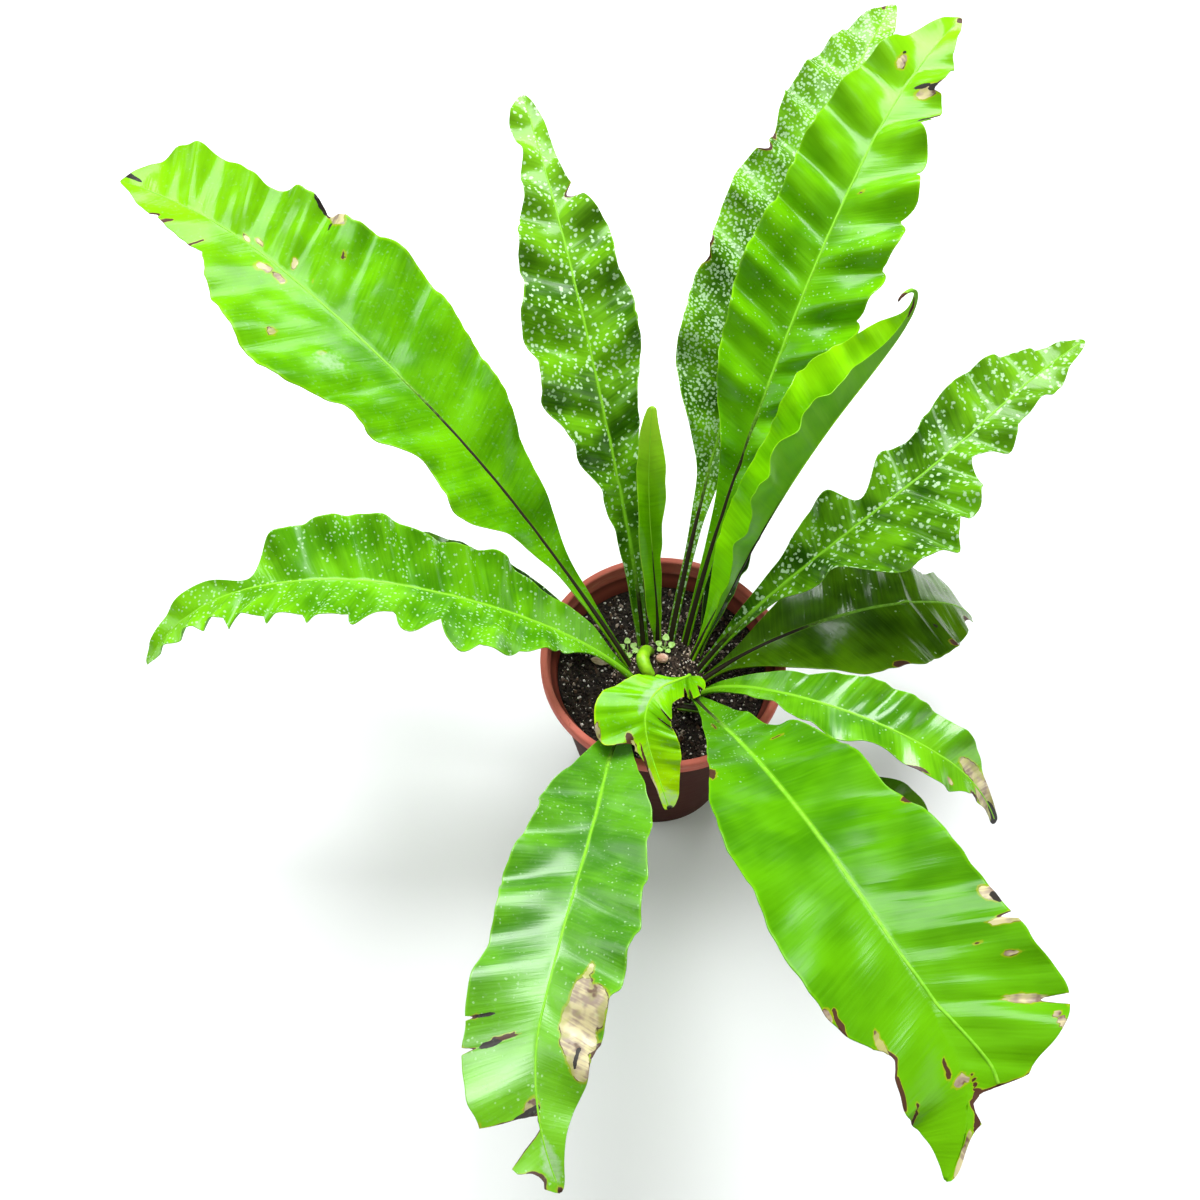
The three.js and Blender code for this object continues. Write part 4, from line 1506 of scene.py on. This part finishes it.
        heading=(152, 154, 152, 148, 143),
        rise=(26, 18, 8, -2, -10),
        fold=(25, 8),
        left=(3, 4, 6, 9, 12, 15, 17, 18, 18, 18, 17, 16, 15, 13, 11, 8, 4),
        right=(3, 4, 6, 9, 12, 15, 17, 18, 18, 18, 17, 16, 15, 13, 11, 8, 4),
        ruffle=Ruffle(3, 5, (60, 0)),
        seed=26,
    ),
)


@dataclass
class Pot:
    """The tapered nursery pot with its rolled rim; sizes in mm as the part's."""

    height: float = 138
    foot_radius: float = 49
    shoulder_radius: float = 69
    rim_radius: float = 75
    rim_depth: float = 9
    rim_width: float = 4.6
    rim_round: float = 1.6
    foot_round: float = 1.5
    inner_step: float = 4
    wall: float = 2.2
    floor: float = 3
    sides: int = 128
    drain_holes: int = 6
    drain_radius: float = 6
    drain_ring: float = 34

    def outer(self, height: float) -> float:
        """The outer wall's radius at a height."""
        share = height / (self.height - self.rim_depth)
        return self.foot_radius + (self.shoulder_radius - self.foot_radius) * share

    def inner(self, height: float) -> float:
        """The inner wall's radius at a height."""
        return self.outer(height) - self.wall

    def profile(self) -> list[tuple[float, float]]:
        """Draws the pot's section.

        Returns:
            Distances and heights, from the middle of the underside round to the middle of the floor.
        """
        lip = self.height - self.rim_depth
        rim_inner = self.rim_radius - self.rim_width
        step = lip - self.inner_step
        turned = [(math.sin(k * math.radians(15)), math.cos(k * math.radians(15))) for k in range(7)]
        crest = self.height - self.rim_round
        outside = self.rim_radius - self.rim_round
        inside = rim_inner + self.rim_round
        return [
            (0, 0),
            *[(self.foot_radius - self.foot_round * (1 - s), self.foot_round * (1 - c)) for s, c in turned],
            *[(self.outer(h), h) for h in np.linspace(6, lip - 2.2, 14)],
            (self.outer(lip - 1), lip - 1.1),
            (self.outer(lip) + 0.9, lip - 0.3),
            (outside, lip),
            (self.rim_radius - 0.5, lip + 0.5),
            (self.rim_radius, lip + self.rim_round),
            *[(outside + self.rim_round * c, crest + self.rim_round * s) for s, c in turned],
            *[(inside - self.rim_round * s, crest + self.rim_round * c) for s, c in turned],
            (rim_inner - 0.3, lip),
            (self.inner(step), step),
            *[(self.inner(h), h) for h in np.linspace(step - 8, self.floor + 1, 8)],
            (self.inner(self.floor) - 1, self.floor),
            (0, self.floor),
        ]

    def build(self) -> None:
        """Builds the pot, cuts its drain holes and dresses it."""
        points, faces = lathe(self.profile(), self.sides)
        far = np.hypot(points[:, 0], points[:, 1])
        # Marks the inner wall, which the finish paints in a middle painted shade.
        inside = far < self.outer(points[:, 2]) - 0.5 * self.wall
        inside &= points[:, 2] > self.floor - 0.1
        pot = add_object("nursery_pot", mesh_from("nursery_pot", points, faces, {"inside": inside}))
        cutter_points, cutter_faces = [], []
        for i in range(self.drain_holes):
            turn = i * FULL_TURN / self.drain_holes
            drum, sides = lathe([(0, -2), (self.drain_radius, -2), (self.drain_radius, 6), (0, 6)], 32)
            start = sum(len(p) for p in cutter_points)
            shift = [self.drain_ring * math.cos(turn), self.drain_ring * math.sin(turn), 0]
            cutter_points.append(drum + shift)
            cutter_faces += [tuple(start + v for v in face) for face in sides]
        cutter = add_object("drains", mesh_from("drains", np.vstack(cutter_points), cutter_faces))
        cut = pot.modifiers.new("drains", "BOOLEAN")
        cut.operation = "DIFFERENCE"
        cut.object = cutter
        graph = bpy.context.evaluated_depsgraph_get()
        mesh = bpy.data.meshes.new_from_object(pot.evaluated_get(graph), depsgraph=graph)
        pot.modifiers.remove(cut)
        pot.data = mesh
        bpy.data.objects.remove(cutter)
        pot.data.materials.clear()
        pot.data.materials.append(self.plastic())
        kept(pot, "pot_plastic", "pot")

    def plastic(self) -> bpy.types.Material:
        """Makes terracotta-coloured plastic: a pale worn rim in the plastic's own colour, walls painted
        darker as painted shade, and dust from the mix.

        Returns:
            The material.
        """
        paint = Paint("terracotta_plastic")
        place = paint.object_place()
        height = paint.node("ShaderNodeSeparateXYZ", inputs={0: place}, output="Z")
        cloud = paint.noise(place, 28, 3)
        grain = paint.noise(place, 700, 2)
        scuffs = paint.noise(paint.node("ShaderNodeMapping", inputs={0: place, 3: (1, 1, 9)}), 60, 3)
        shoulder = self.height - self.rim_depth
        rim = height.rise((shoulder - 1.5) * MM, shoulder * MM)
        # Painted shade: the outer wall is painted far darker than the rim and the inner wall a middle shade,
        # though the plastic is the same all through.
        wall = paint.blend(cloud, (0.042, 0.011, 0.007), (0.065, 0.017, 0.011))
        wall = paint.blend(paint.attribute("inside"), wall, (0.2, 0.045, 0.03))
        lip = paint.blend(cloud.rise(0.3, 0.7), (0.42, 0.1, 0.07), (0.54, 0.15, 0.11))
        colour = paint.blend(rim, wall, lip)
        worn = (scuffs + rim * 0.05).rise(0.6, 0.78) * (0.05 + rim * 0.25)
        colour = paint.blend(worn, colour, (0.6, 0.3, 0.23))
        dusty = (grain + cloud * 0.5 - 0.9).rise(0.02, 0.2) * 0.4
        colour = paint.blend(dusty, colour, (0.04, 0.02, 0.014))
        relief = grain * 0.4 + scuffs * 0.6
        return paint.coated(colour, 0.42 + scuffs * 0.22, relief, 0.2, 0.4, 0.03)


def earth_relief(x: Array, y: Array, height: float) -> Array:
    """The low waves of the earth, as in the part."""
    long = np.sin(x * 0.31 + 1) * np.cos(y * 0.27)
    return height * (long + 0.6 * np.sin(x * 0.83 + y * 0.67))


def crumb_recipe() -> Recipe:
    """Makes the recipe that scatters rough crumbs over a surface.

    Each crumb is turned and sized at random and has a tone of its own.

    Returns:
        The recipe.
    """
    recipe = Recipe("crumbs")
    density = recipe.named("Density", 100000.0)
    least = recipe.named("Least", 0.0005)
    most = recipe.named("Most", 0.0015)
    flat = recipe.named("Flatness", 0.7)
    slim = recipe.named("Slimness", 0.8)
    seed = recipe.named("Seed", 1, "NodeSocketInt")

    def random(low: Any, high: Any) -> bpy.types.NodeSocket:
        """A random number for each crumb, between low and high."""
        limits = {2: low, 3: high, "Seed": seed}
        return recipe.node("FunctionNodeRandomValue", {"data_type": "FLOAT"}, limits, output=1)

    def scaled(vector: bpy.types.NodeSocket, factor: Any) -> bpy.types.NodeSocket:
        """A vector made longer."""
        return recipe.node("ShaderNodeVectorMath", {"operation": "SCALE"}, {0: vector, "Scale": factor})

    points = recipe.node(
        "GeometryNodeDistributePointsOnFaces",
        {"distribute_method": "RANDOM"},
        {"Mesh": recipe.entry.outputs["Geometry"], "Density": density, "Seed": seed},
    )
    ball = recipe.node("GeometryNodeMeshUVSphere", inputs={"Segments": 6, "Rings": 4, "Radius": 1.0})
    rough = recipe.node("ShaderNodeTexNoise", inputs={"Scale": 1.3, "Detail": 1.0}, output="Color")
    middle = (0.5, 0.5, 0.5)
    centred = recipe.node("ShaderNodeVectorMath", {"operation": "SUBTRACT"}, {0: rough, 1: middle})
    stone = recipe.node(
        "GeometryNodeSetPosition", inputs={"Geometry": ball, "Offset": scaled(centred, 1.6)}
    )
    turns = {0: (0.0, 0.0, 0.0), 1: (FULL_TURN, FULL_TURN, FULL_TURN), "Seed": seed}
    turn = recipe.node("FunctionNodeRandomValue", {"data_type": "FLOAT_VECTOR"}, turns)
    shape = recipe.node("ShaderNodeCombineXYZ", inputs={0: 1.0, 1: slim, 2: flat})
    size = scaled(shape, random(least, most))
    placed = recipe.node(
        "GeometryNodeInstanceOnPoints",
        inputs={"Points": points, "Instance": stone, "Rotation": turn, "Scale": size},
    )
    toned = recipe.node(
        "GeometryNodeStoreNamedAttribute",
        {"data_type": "FLOAT", "domain": "INSTANCE"},
        {"Geometry": placed, "Name": "tone", "Value": random(0.0, 1.0)},
    )
    return recipe.ends_with(toned)


def crumb_paint(name: str, low: Colour, high: Colour) -> bpy.types.Material:
    """Makes a dull mineral or bark finish whose tone changes from crumb to crumb.

    Args:
        name: The material's name.
        low: The darkest tone.
        high: The lightest tone.

    Returns:
        The material.
    """
    paint = Paint(name)
    spots = paint.noise(paint.object_place(), 900, 2)
    tone = paint.attribute("tone") * 0.8 + (spots - 0.5) * 0.9
    colour = paint.blend(tone.rise(0.0, 0.9), low, high)
    return paint.coated(colour, 0.9, spots, 0.25, 0.8, 0.3)


@dataclass
class Crumbs:
    """One kind of grain in the mix: how many, how large, how flat and what it looks like."""

    name: str
    count: float
    sizes: tuple[float, float]
    low: Colour
    high: Colour
    flatness: float = 0.7
    slimness: float = 0.8
    seed: int = 1

    def scatter(self, recipe: Recipe, carrier: bpy.types.Mesh, slot: str) -> None:
        """Scatters the grains over a carrier mesh.

        Args:
            recipe: The scattering recipe.
            carrier: The surface.
            slot: The record's finish.
        """
        area = sum(face.area for face in carrier.polygons)
        grains = recipe.made_from(
            carrier,
            self.name,
            crumb_paint(f"{self.name}_finish", self.low, self.high),
            Density=self.count / area,
            Least=self.sizes[0] * MM,
            Most=self.sizes[1] * MM,
            Flatness=self.flatness,
            Slimness=self.slimness,
            Seed=self.seed,
        )
        kept(grains, slot)


@dataclass
class PottingMix:
    """The near-black bed of peat, bark, perlite and grit."""

    bottom: float = 3.3
    edge_height: float = 118
    middle_height: float = 119.5
    ripple: float = 1
    clearance: float = 0.3
    hollow: float = 30
    sides: int = 96
    grains: tuple[Crumbs, ...] = (
        Crumbs("peat_crumbs", 2600, (0.5, 1.7), (0.004, 0.003, 0.0025), (0.035, 0.024, 0.017), seed=3),
        Crumbs("bark_chips", 210, (1.2, 3.0), (0.02, 0.012, 0.008), (0.1, 0.06, 0.038), 0.35, 0.6, 5),
        Crumbs("tan_clods", 150, (0.7, 2.2), (0.07, 0.05, 0.037), (0.34, 0.27, 0.22), 0.7, 0.75, 7),
        Crumbs("perlite_grit", 460, (0.35, 1.15), (0.3, 0.26, 0.22), (0.8, 0.76, 0.7), 0.8, 0.85, 8),
        Crumbs("pale_grit", 900, (0.22, 0.5), (0.1, 0.08, 0.065), (0.5, 0.45, 0.38), 0.8, 0.8, 9),
    )

    def top(self, x: Array, y: Array, radius: float) -> Array:
        """Finds the bed's height, with its waves and fine lumps.

        Args:
            x: Places in mm.
            y: Places in mm.
            radius: The bed's radius in mm.

        Returns:
            The height in mm.
        """
        share = np.hypot(x, y) / radius
        plain = self.middle_height + (self.edge_height - self.middle_height) * smooth_step(share, 0.5, 1)
        fine = 0.5 * soft_noise(x, y, 5, 4) + 0.35 * soft_noise(x, y, 2.4, 6)
        return plain + (earth_relief(x, y, self.ripple) + fine) * smooth_step(1 - share, 0, 0.06)

    def build(self, pot: Pot, crumbs: Recipe) -> None:
        """Builds the bed and scatters its grains.

        Args:
            pot: The pot that the bed fills.
            crumbs: The scattering recipe.
        """
        edge = pot.inner(self.edge_height) - self.clearance
        rings = [(edge * share, self.edge_height) for share in np.linspace(1, 0.02, 44)]
        profile = [
            (0, self.bottom),
            (pot.inner(self.bottom) - self.clearance - 1, self.bottom),
            *[(pot.inner(h) - self.clearance, h) for h in np.linspace(8, 112, 9)],
            *rings,
            (0, self.middle_height),
        ]
        points, faces = lathe(profile, self.sides)
        raised = points[:, 2] > self.edge_height - 0.01
        points[raised, 2] = self.top(points[raised, 0], points[raised, 1], edge)
        kept(dressed("potting_bed", points, faces, self.peat()), "potting_mix", "soil")
        far = np.hypot(points[:, 0], points[:, 1])
        seen = [f for f in faces if all(raised[v] and self.hollow < far[v] < edge - 0.8 for v in f)]
        for kind in self.grains:
            carrier = mesh_from(f"{kind.name}_carrier", points, seen)
            kind.scatter(crumbs, carrier, "potting_mix")

    def peat(self) -> bpy.types.Material:
        """Makes damp near-black peat.

        Returns:
            The material.
        """
        paint = Paint("damp_peat")
        place = paint.object_place()
        lumps = paint.noise(place, 260, 4)
        grit, cell = paint.cells(place, 520)
        light = (grit.rise(0.3, 0.15) * cell.rise(0.8, 0.85)) * 0.6
        colour = paint.blend(lumps.rise(0.3, 0.75), (0.004, 0.0032, 0.0026), (0.026, 0.018, 0.013))
        colour = paint.blend(light, colour, (0.24, 0.2, 0.16))
        return paint.coated(colour, 0.92, lumps, 1.6, 0.9, 0.25)


@dataclass
class Rootstock:
    """The low fibrous mound that the fronds grow from, with dark scales, tan husks and pale grit."""

    radius: float = 31
    taper: float = 4
    bottom: float = 104
    waist: float = 114
    shoulder: float = 120
    top: float = 133.5
    ripple: float = 0.8
    ripple_scale: float = 1.7
    sides: int = 88
    husks: tuple[Crumbs, ...] = (
        Crumbs("dark_scales", 900, (0.8, 2.2), (0.006, 0.004, 0.003), (0.05, 0.033, 0.022), 0.3, 0.35, 14),
        Crumbs("tan_husks", 520, (0.5, 1.5), (0.2, 0.13, 0.09), (0.62, 0.48, 0.38), 0.4, 0.5, 12),
        Crumbs("crown_grit", 380, (0.3, 0.8), (0.3, 0.25, 0.2), (0.8, 0.72, 0.64), 0.8, 0.8, 15),
    )

    def build(self, crumbs: Recipe) -> None:
        """Builds the mound and scatters its husks.

        Args:
            crumbs: The scattering recipe.
        """
        arc = [math.radians(a) for a in range(6, 90, 5)]
        rise = self.top - self.shoulder
        dome = [(self.radius * math.cos(a), self.shoulder + rise * math.sin(a) ** 1.15) for a in arc]
        profile = [
            (0, self.bottom),
            (self.radius - self.taper, self.bottom),
            (self.radius, self.waist),
            (self.radius, self.shoulder),
            *dome,
            (0, self.top),
        ]
        points, faces = lathe(profile, self.sides)
        x, y = points[:, 0], points[:, 1]
        raised = points[:, 2] > self.shoulder + 1
        relief = earth_relief(x * self.ripple_scale, y * self.ripple_scale, self.ripple)
        relief = relief + 0.5 * soft_noise(x, y, 6, 21) + 0.4 * soft_noise(x, y, 2.5, 22)
        points[raised, 2] += relief[raised]
        mound = dressed("rootstock_mound", points, faces, self.fibre())
        kept(mound, "rootstock_fibre", "rootstock")
        seen = [f for f in faces if all(points[v, 2] > self.shoulder - 0.5 for v in f)]
        for kind in self.husks:
            carrier = mesh_from(f"{kind.name}_carrier", points, seen)
            kind.scatter(crumbs, carrier, "rootstock_fibre")

    def fibre(self) -> bpy.types.Material:
        """Makes dark matted fibre.

        Returns:
            The material.
        """
        paint = Paint("matted_fibre")
        place = paint.object_place()
        stretched = paint.node("ShaderNodeMapping", inputs={0: place, 3: (1, 0.35, 1)})
        strands = paint.noise(stretched, 420, 4)
        colour = paint.blend(strands.rise(0.35, 0.75), (0.006, 0.0045, 0.0035), (0.075, 0.05, 0.034))
        return paint.coated(colour, 0.93, strands, 1.4, 0.9, 0.2)


@dataclass
class Crosier:
    """The frond that is still curled up, like a small banana."""

    route: tuple[Point, ...] = (
        (-6, 7, 129),
        (-10, 4, 138),
        (-12.5, -4, 142),
        (-10.5, -11, 141),
        (-6, -14.5, 138),
    )
    radii: Sizes = (2.6, 3.3, 3.9, 4.1, 3.6, 1.8)

    def build(self, swept: Recipe) -> None:
        """Builds and dresses the curled frond.

        Args:
            swept: The recipe that sweeps a round section along a line.
        """
        place = np.linspace(0, 1, 48)
        path = np.stack([smooth_sampled([p[k] for p in self.route], place) for k in range(3)], 1)
        radius = smooth_sampled(self.radii, place)
        radius = radius * np.sqrt(1 - 0.9 * np.clip((place - 0.93) / 0.07, 0, 1) ** 2)
        line = mesh_from("crosier_line", path, [], {"width": radius * MM, "place": place})
        shoot = swept.made_from(line, "curled_frond", self.skin(), Sides=20)
        kept(shoot, "frond_young", "crosier")

    def skin(self) -> bpy.types.Material:
        """Makes a smooth young green, browner at the foot.

        Returns:
            The material.
        """
        paint = Paint("crosier_green")
        cloud = paint.noise(paint.object_place(), 130, 3)
        green = paint.blend(cloud.rise(0.3, 0.7), (0.14, 0.36, 0.004), (0.3, 0.62, 0.008))
        foot = (paint.attribute("place") + (cloud - 0.5) * 0.2).rise(0.28, 0.05)
        colour = paint.blend(foot * 0.8, green, (0.05, 0.04, 0.015))
        return paint.coated(colour, 0.4, cloud, 0.3, 0.4, 0.4)


@dataclass
class SeedlingTuft:
    """A tuft of pale young plants with round leaves on short stalks."""

    name: str
    node: str
    root: Point
    leaves: int
    turn: float
    stalk: float
    leaf: float

    def build(self, green: bpy.types.Material) -> None:
        """Builds the tuft, with every second leaf on a longer stalk.

        Args:
            green: The leaves' finish.
        """
        points, faces = [], []
        draw = np.random.default_rng(self.leaves)
        root = np.array(self.root, float)
        for i in range(self.leaves):
            angle = math.radians(self.turn) + i * FULL_TURN / self.leaves
            tall = i % 2 == 1
            rise = self.stalk * (1 if tall else 0.62)
            reach = rise * (0.8 if tall else 1)
            end = root + [reach * math.cos(angle), reach * math.sin(angle), rise]
            self.add_leaf(points, faces, root, end, angle, self.leaf * draw.uniform(0.85, 1.15))
        kept(dressed(self.name, np.vstack(points), faces, green), "seedling_leaf", self.node)

    def add_leaf(
        self, points: list[Array], faces: Faces, root: Array, end: Array, angle: float, size: float
    ) -> None:
        """Adds one cupped round leaf and its stalk to a list of points and faces.

        Args:
            points: The points so far, piece by piece.
            faces: The faces so far.
            root: Where the stalk starts.
            end: Where the leaf starts.
            angle: Which way it points.
            size: Its radius in mm.
        """
        start = sum(len(p) for p in points)
        out = np.array([math.cos(angle), math.sin(angle), 0.25])
        out /= np.linalg.norm(out)
        side = np.array([-math.sin(angle), math.cos(angle), 0.0])
        up = np.cross(out, side)
        around = 16
        top = []
        for r in (0.35, 0.7, 1.0):
            for j in range(around):
                a = j * FULL_TURN / around
                lobe = 1 + 0.1 * math.cos(3 * a)
                flat = out * (math.cos(a) * r * lobe + 0.7) + side * (math.sin(a) * r * lobe)
                top.append(end + size * (flat + up * (0.25 * r * r)))
        centre = end + size * out * 0.7
        under = [p - up * 0.35 for p in top]
        points.append(np.array([centre, *top, centre - up * 0.4, *under]))
        low = start + 1 + len(top)
        for j in range(around):
            k = (j + 1) % around
            faces.append((start, start + 1 + j, start + 1 + k))
            faces.append((low, low + 1 + k, low + 1 + j))
            for ring in range(2):
                a, b = start + 1 + ring * around, start + 1 + (ring + 1) * around
                faces.append((a + j, b + j, b + k, a + k))
                c, d = low + 1 + ring * around, low + 1 + (ring + 1) * around
                faces.append((c + k, d + k, d + j, c + j))
            rim, rim_low = start + 1 + 2 * around, low + 1 + 2 * around
            faces.append((rim + j, rim_low + j, rim_low + k, rim + k))
        self.add_stalk(points, faces, root, end + size * out * 0.5, side, up)

    def add_stalk(
        self, points: list[Array], faces: Faces, root: Array, end: Array, side: Array, up: Array
    ) -> None:
        """Adds a thin stalk that narrows towards its leaf.

        Args:
            points: The points so far, piece by piece.
            faces: The faces so far.
            root: Where it starts.
            end: Where it ends.
            side: One direction across it.
            up: The other direction across it.
        """
        around = 6
        start = sum(len(p) for p in points)
        rings = []
        for share, radius in ((0, 0.55), (0.5, 0.4), (1, 0.3)):
            middle = root + (end - root) * share + [0, 0, 0.6 * share * (1 - share)]
            for j in range(around):
                a = j * FULL_TURN / around
                rings.append(middle + radius * (math.cos(a) * side + math.sin(a) * up))
        points.append(np.array(rings))
        for ring in range(2):
            for j in range(around):
                k = (j + 1) % around
                here = start + ring * around
                faces.append((here + j, here + k, here + around + k, here + around + j))
        faces.append(tuple(start + j for j in range(around - 1, -1, -1)))
        faces.append(tuple(start + 2 * around + j for j in range(around)))


def seedling_paint() -> bpy.types.Material:
    """Makes a pale yellow-green, thin and a little glossy.

    Returns:
        The material.
    """
    paint = Paint("seedling_green")
    cloud = paint.noise(paint.object_place(), 350, 2)
    colour = paint.blend(cloud.rise(0.3, 0.7), (0.3, 0.55, 0.1), (0.5, 0.76, 0.22))
    return paint.coated(colour, 0.42, cloud, 0.2, 0.4, glow=0.25)


def dress_loose_bits() -> None:
    """Gives the pale dry leaf chip and the pinkish pebble their finishes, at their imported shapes."""
    for node, finish in (("leaf_chip", dry_leaf()), ("pebble", stone())):
        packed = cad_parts[node]
        packed.data.materials.clear()
        packed.data.materials.append(finish)


def dry_leaf() -> bpy.types.Material:
    """Makes a cream-tan dry leaf with faint veins.

    Returns:
        The material.
    """
    paint = Paint("dry_leaf_chip")
    place = paint.object_place()
    veins = paint.noise(paint.node("ShaderNodeMapping", inputs={0: place, 3: (1, 5, 1)}), 260, 3)
    colour = paint.blend(veins.rise(0.35, 0.7), (0.32, 0.22, 0.11), (0.66, 0.56, 0.38))
    return paint.coated(colour, 0.75, veins, 0.3, 0.7)


def stone() -> bpy.types.Material:
    """Makes a pinkish-tan pebble with paler grains.

    Returns:
        The material.
    """
    paint = Paint("pink_pebble")
    cloud = paint.noise(paint.object_place(), 240, 4)
    colour = paint.blend(cloud.rise(0.35, 0.68), (0.4, 0.2, 0.13), (0.72, 0.52, 0.4))
    return paint.coated(colour, 0.6, cloud, 0.35, 0.6)


@dataclass
class Softbox:
    """A large soft lamp that looks at the plant; sizes in metres, power in watts."""

    name: str
    place: Point
    target: Point
    size: float
    power: float
    colour: Colour = (1, 1, 1)
    mirrored: bool = True

    def build(self) -> None:
        """Hangs the lamp."""
        lamp = bpy.data.lights.new(self.name, "AREA")
        lamp.shape = "SQUARE"
        lamp.size = self.size
        lamp.energy = self.power
        lamp.color = self.colour
        made = bpy.data.objects.new(self.name, lamp)
        made.location = self.place
        away = made.location - Vector(self.target)
        made.rotation_euler = away.to_track_quat("Z", "Y").to_euler()
        made.visible_glossy = self.mirrored
        bpy.context.scene.collection.objects.link(made)


@dataclass
class Studio:
    """The plain pale floor, the soft light and the camera at the photograph's angle."""

    floor_reach: float = 4.0
    camera_place: Point = (-0.03843, -0.38101, 0.76396)
    camera_tilt: float = 34
    lens: float = 36
    lamps: tuple[Softbox, ...] = (
        Softbox("back_softbox", (0.05, 0.75, 1.6), (0, 0, 0.2), 1.2, 54, (0.95, 0.985, 1)),
        Softbox("ceiling_softbox", (-0.3, -0.4, 2.0), (0, 0, 0.2), 1.6, 10, mirrored=False),
        Softbox("window_softbox", (-1.5, 0.3, 0.9), (0, 0, 0.2), 1.0, 9, (0.94, 0.98, 1)),
        Softbox("side_softbox", (1.6, -0.4, 0.8), (0, 0, 0.2), 1.0, 6),
    )

    def build(self) -> None:
        """Sets up the floor, the lamps, the air and the camera."""
        reach = self.floor_reach
        corners = [(-reach, -reach, 0), (reach, -reach, 0), (reach, reach, 0), (-reach, reach, 0)]
        paint = Paint("pale_floor")
        pale = paint.finished(paint.solid(Base_Color=(0.86, 0.86, 0.85, 1), Roughness=0.7))
        floor = dressed("studio_floor", np.array(corners) / MM, [(0, 1, 2, 3)], pale)
        for lamp in self.lamps:
            lamp.build()
        world = bpy.data.worlds.new("studio_air")
        world.use_nodes = True
        air = world.node_tree.nodes["Background"]
        air.inputs["Color"].default_value = (1, 1, 1, 1)
        air.inputs["Strength"].default_value = 0.25
        world.cycles_visibility.glossy = False
        bpy.context.scene.world = world
        bpy.context.scene.view_settings.view_transform = "Standard"
        data = bpy.data.cameras.new("photo_camera")
        data.lens = self.lens
        data.sensor_width = 36
        camera = bpy.data.objects.new("photo_camera", data)
        camera.location = self.camera_place
        camera.rotation_euler = (math.radians(self.camera_tilt), 0, 0)
        bpy.context.scene.collection.objects.link(camera)
        bpy.context.scene.camera = camera


def main() -> None:
    """Builds the plant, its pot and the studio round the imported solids."""
    logging.basicConfig(level=logging.INFO, format="%(name)s %(message)s")
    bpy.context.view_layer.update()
    Studio().build()
    swept = swept_recipe()
    crumbs = crumb_recipe()
    pot = Pot()
    pot.build()
    PottingMix().build(pot, crumbs)
    Rootstock().build(crumbs)
    for frond in FRONDS:
        frond.build(swept)
    Crosier().build(swept)
    green = seedling_paint()
    SeedlingTuft("seedling_tuft_left", "seedlings_left", (-21, 9.5, 127), 6, 35, 4.6, 2.1).build(green)
    SeedlingTuft("seedling_tuft_back", "seedlings_back", (1.5, 8.5, 132.5), 5, 10, 4.5, 2).build(green)
    dress_loose_bits()
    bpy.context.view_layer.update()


if __name__ == "__main__":
    main()
